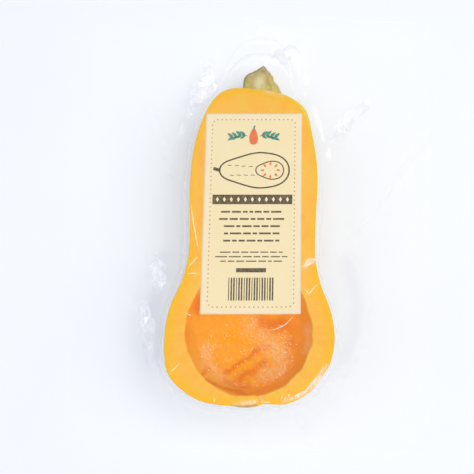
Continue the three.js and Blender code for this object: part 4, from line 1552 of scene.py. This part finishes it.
def ink_material(name, colour):
    """Offset ink on coated paper: thin, even and a little glossier than the sheet, slightly mottled."""
    material, tree = new_material(name)
    place = add_node(tree, "ShaderNodeTexCoord", out="Object")
    mottle = add_node(tree, "ShaderNodeTexNoise", {"Vector": place, "Scale": 1 / (1.2 * MM), "Detail": 2.0})
    worn = add_node(tree, "ShaderNodeMapRange", {0: mottle, 1: 0.35, 2: 0.8, 3: 0.0, 4: 0.18})
    inputs = {0: worn, 6: tuple(colour), 7: linear("#f4e3b2")}
    colour = add_node(tree, "ShaderNodeMix", inputs, data_type="RGBA", out=2)
    ink = add_node(tree, "ShaderNodeBsdfPrincipled", {"Base Color": colour, "Roughness": 0.42})
    add_node(tree, "ShaderNodeOutputMaterial", {"Surface": ink})
    return material


def ink_mesh(name, shapes, material, lift=0.0):
    """Thin closed plates of ink on the label."""
    points = []
    faces = []
    for shape in shapes:
        turned = sum(a[0] * b[1] - a[1] * b[0] for a, b in zip(shape, shape[1:] + shape[:1])) < 0
        outline = list(reversed(shape)) if turned else list(shape)
        count = len(outline)
        first = len(points)
        points += [(x, y, 0.2) for x, y in outline] + [(x, y, 1.0) for x, y in outline]
        faces.append(tuple(range(first + count, first + 2 * count)))
        faces.append(tuple(reversed(range(first, first + count))))
        for i in range(count):
            j = (i + 1) % count
            faces.append((first + i, first + j, first + count + j, first + count + i))
    flat = np.array(points)
    place = paper_points(flat[:, 0] * MM, flat[:, 1] * MM, flat[:, 2] * INK_WALL + lift)
    made = new_object(name, place, faces, material)
    made.data.shade_flat()
    finished(made, "label_paper")


def border_growth():
    """Round dots along a path."""
    sizes = {
        "Diameter": "NodeSocketFloat",
        "Spacing": "NodeSocketFloat",
        "Height": "NodeSocketFloat",
        "Ink": "NodeSocketMaterial",
    }
    tree, given = new_growth("Dotted border", sizes)
    path = add_node(tree, "GeometryNodeMeshToCurve", {"Mesh": given["Geometry"]})
    inputs = {"Curve": path, "Length": given["Spacing"]}
    path = add_node(tree, "GeometryNodeResampleCurve", inputs, mode="LENGTH")
    radius = add_node(tree, "ShaderNodeMath", {0: given["Diameter"], 1: 0.5}, operation="MULTIPLY")
    inputs = {"Vertices": 10, "Radius": radius, "Depth": given["Height"]}
    dot = add_node(tree, "GeometryNodeMeshCylinder", inputs)
    dots = add_node(tree, "GeometryNodeInstanceOnPoints", {"Points": path, "Instance": dot})
    end_growth(tree, dots, given["Ink"])
    return tree


def border(looks, material):
    """Dots round the label, with each corner cut off."""
    low, high = label_box()
    half = (high - low)[:2] / 2 - looks.inset
    cut = looks.dot_step * 0.8
    path = []
    for x, y in ((1, 1), (-1, 1), (-1, -1), (1, -1)):
        near = (x * half[0], y * (half[1] - cut), 0)
        far = (x * (half[0] - cut), y * half[1], 0)
        path += [near, far] if x * y > 0 else [far, near]
    edges = [(i, (i + 1) % len(path)) for i in range(len(path))]
    made = new_object("print_border", path, (), edges=edges)
    values = {"Diameter": looks.dot, "Spacing": looks.dot_step, "Height": INK_WALL, "Ink": material}
    grow(made, border_growth(), values)
    flat = np.array([v.co for v in made.data.vertices])
    place = paper_points(flat[:, 0], flat[:, 1], flat[:, 2] + 0.6 * INK_WALL)
    made.data.vertices.foreach_set("co", np.asarray(place, np.float32).ravel())
    made.data.update()
    finished(made, "label_paper")


class SQUASH_OT_print(bpy.types.Operator):
    """Prints the label with a dotted border, a sprig, a drawn half, bars and stripes"""

    bl_idname = "squash.print"
    bl_label = "Print"

    def execute(self, context):
        looks = context.scene.squash_label
        shapes = label_print()
        for name in ("brown", "green", "coral"):
            ink = ink_material(f"{name.capitalize()} offset ink", getattr(looks, name))
            ink_mesh(f"print_{name}", shapes[name], ink)
        ink_mesh("print_cream", shapes["cream"], ink_material("Cream offset ink", looks.paper), INK_WALL)
        border(looks, ink_material("Tan offset ink", looks.tan))
        return {"FINISHED"}


# Stage

KEY_AT = Vector((1.3, -0.15, 1.5))
KEY_SIZE = (1.7, 1.7)
ROOF_AT = Vector((0.1, 0.0, 1.6))
ROOF_SIZE = (1.6, 1.6)
FILL_AT = Vector((-1.4, -0.1, 1.1))
FILL_SIZE = (1.2, 1.2)
STRIPS = (
    (Vector((-1.0, 0.0, 0.34)), 0.15),
    (Vector((-0.75, 0.85, 0.45)), 1.0),
    (Vector((0.15, 1.1, 0.5)), 1.0),
    (Vector((0.85, 0.75, 0.42)), 1.0),
)  # places and shares of the power
STRIP_SIZE = (0.25, 0.35)
FLOOR_REACH = 0.8
FLOOR_SIDES = 96
SHINE = 1.15  # strength of the white room in mirror images on the film
CLIP_START = 0.01
FILM_LAYERS = 24  # clear layers that a ray of light may pass


def floor_material(looks):
    """Matt white paper sweep: flat and pale, with the faintest tooth."""
    material, tree = new_material("Matt paper sweep")
    place = add_node(tree, "ShaderNodeTexCoord", out="Object")
    tooth = add_node(tree, "ShaderNodeTexNoise", {"Vector": place, "Scale": 1 / (60 * MM), "Detail": 1.0})
    share = add_node(tree, "ShaderNodeMapRange", {0: tooth, 1: 0.3, 2: 0.7, 3: 0.0, 4: 0.2})
    inputs = {0: share, 6: tuple(looks.floor), 7: linear("#f3f5f8")}
    colour = add_node(tree, "ShaderNodeMix", inputs, data_type="RGBA", out=2)
    inputs = {"Base Color": colour, "Roughness": 0.9, "Specular IOR Level": 0.1}
    sweep = add_node(tree, "ShaderNodeBsdfPrincipled", inputs)
    add_node(tree, "ShaderNodeOutputMaterial", {"Surface": sweep})
    return material


def lamp(name, place, size, power):
    """Soft rectangular lamp aimed at the object."""
    light = bpy.data.lights.new(name, "AREA")
    light.shape = "RECTANGLE"
    light.size, light.size_y = size
    light.energy = power
    made = bpy.data.objects.new(name, light)
    made.location = place
    made.rotation_euler = (-place).to_track_quat("-Z", "Y").to_euler()
    bpy.context.scene.collection.objects.link(made)
    return made


class SQUASH_OT_stage(bpy.types.Operator):
    """Sets the floor, the soft light and the camera"""

    bl_idname = "squash.stage"
    bl_label = "Stage"

    def execute(self, context):
        looks = context.scene.squash_stage
        scene = context.scene
        turns = [2 * math.pi * i / FLOOR_SIDES for i in range(FLOOR_SIDES)]
        corners = [(FLOOR_REACH * math.cos(turn), FLOOR_REACH * math.sin(turn), 0) for turn in turns]
        new_object("floor", corners, [tuple(range(FLOOR_SIDES))], floor_material(looks))

        world = bpy.data.worlds.new("Soft studio")
        world.use_nodes = True
        world.node_tree.nodes.clear()
        tree = world.node_tree
        inputs = {"Color": tuple(looks.sky), "Strength": looks.sky_strength}
        sky = add_node(tree, "ShaderNodeBackground", inputs)
        wall = add_node(tree, "ShaderNodeBackground", {"Color": tuple(looks.floor), "Strength": 1.0})
        shine = add_node(tree, "ShaderNodeBackground", {"Color": tuple(looks.floor), "Strength": SHINE})
        mirrored = add_node(tree, "ShaderNodeLightPath", out="Is Glossy Ray")
        sky = add_node(tree, "ShaderNodeMixShader", {0: mirrored, 1: sky, 2: shine})
        seen = add_node(tree, "ShaderNodeLightPath", out="Is Camera Ray")
        sky = add_node(tree, "ShaderNodeMixShader", {0: seen, 1: sky, 2: wall})
        add_node(tree, "ShaderNodeOutputWorld", {"Surface": sky})
        scene.world = world
        for place, share in STRIPS:
            strip = lamp("Strip", place, STRIP_SIZE, share * looks.strip_power)
            strip.visible_diffuse = False  # it shows as glints alone
        fill = lamp("Fill", FILL_AT, FILL_SIZE, looks.fill_power)
        fill.data.color = tuple(looks.fill)[:3]
        key = lamp("Key", KEY_AT, KEY_SIZE, looks.key_power)
        key.data.color = tuple(looks.key)[:3]
        roof = lamp("Roof", ROOF_AT, ROOF_SIZE, looks.roof_power)
        for soft in (fill, key, roof):
            soft.visible_glossy = False  # its mirror image would lie like a veil on the film

        camera = bpy.data.objects.new("Camera", bpy.data.cameras.new("Camera"))
        camera.data.lens = looks.lens
        camera.data.clip_start = CLIP_START
        aim = (CAMERA_AIM - CAMERA_AT).to_track_quat("-Z", "Y").to_matrix().to_4x4()
        camera.matrix_world = Matrix.Translation(CAMERA_AT) @ aim @ Matrix.Rotation(-looks.roll, 4, "Z")
        scene.collection.objects.link(camera)
        scene.camera = camera
        scene.view_settings.view_transform = "Standard"
        scene.cycles.transparent_max_bounces = FILM_LAYERS
        return {"FINISHED"}


class SQUASH_PT_panel(bpy.types.Panel):
    """Lists the pieces in the order they are built, and their sizes and colours"""

    bl_label = "Packed Squash Half"
    bl_space_type = "VIEW_3D"
    bl_region_type = "UI"
    bl_category = "Squash"

    def draw(self, context):
        for operator in OPERATORS:
            self.layout.operator(operator.bl_idname)
        for group in GROUPS:
            looks = getattr(context.scene, group)
            for name in looks.bl_rna.properties.keys():
                if name not in ("rna_type", "name"):
                    self.layout.prop(looks, name)


GROUPS = {
    "squash_flesh": FleshLooks,
    "squash_pouch": PouchLooks,
    "squash_label": LabelLooks,
    "squash_stage": StageLooks,
}
OPERATORS = (
    SQUASH_OT_stage,
    SQUASH_OT_flesh,
    SQUASH_OT_stem,
    SQUASH_OT_pouch,
    SQUASH_OT_crumples,
    SQUASH_OT_folds,
    SQUASH_OT_drops,
    SQUASH_OT_label,
    SQUASH_OT_print,
)


def register():
    for kind in (*GROUPS.values(), *OPERATORS, SQUASH_PT_panel):
        bpy.utils.register_class(kind)
    for name, kind in GROUPS.items():
        setattr(bpy.types.Scene, name, bpy.props.PointerProperty(type=kind))


def unregister():
    for name in GROUPS:
        delattr(bpy.types.Scene, name)
    for kind in (SQUASH_PT_panel, *reversed(OPERATORS), *GROUPS.values()):
        bpy.utils.unregister_class(kind)


def main():
    register()
    bpy.ops.squash.stage()
    bpy.ops.squash.flesh()
    bpy.ops.squash.stem()
    bpy.ops.squash.pouch()
    bpy.ops.squash.crumples()
    bpy.ops.squash.folds()
    bpy.ops.squash.drops()
    bpy.ops.squash.label()
    bpy.ops.squash.print()


if __name__ == "__main__":
    main()
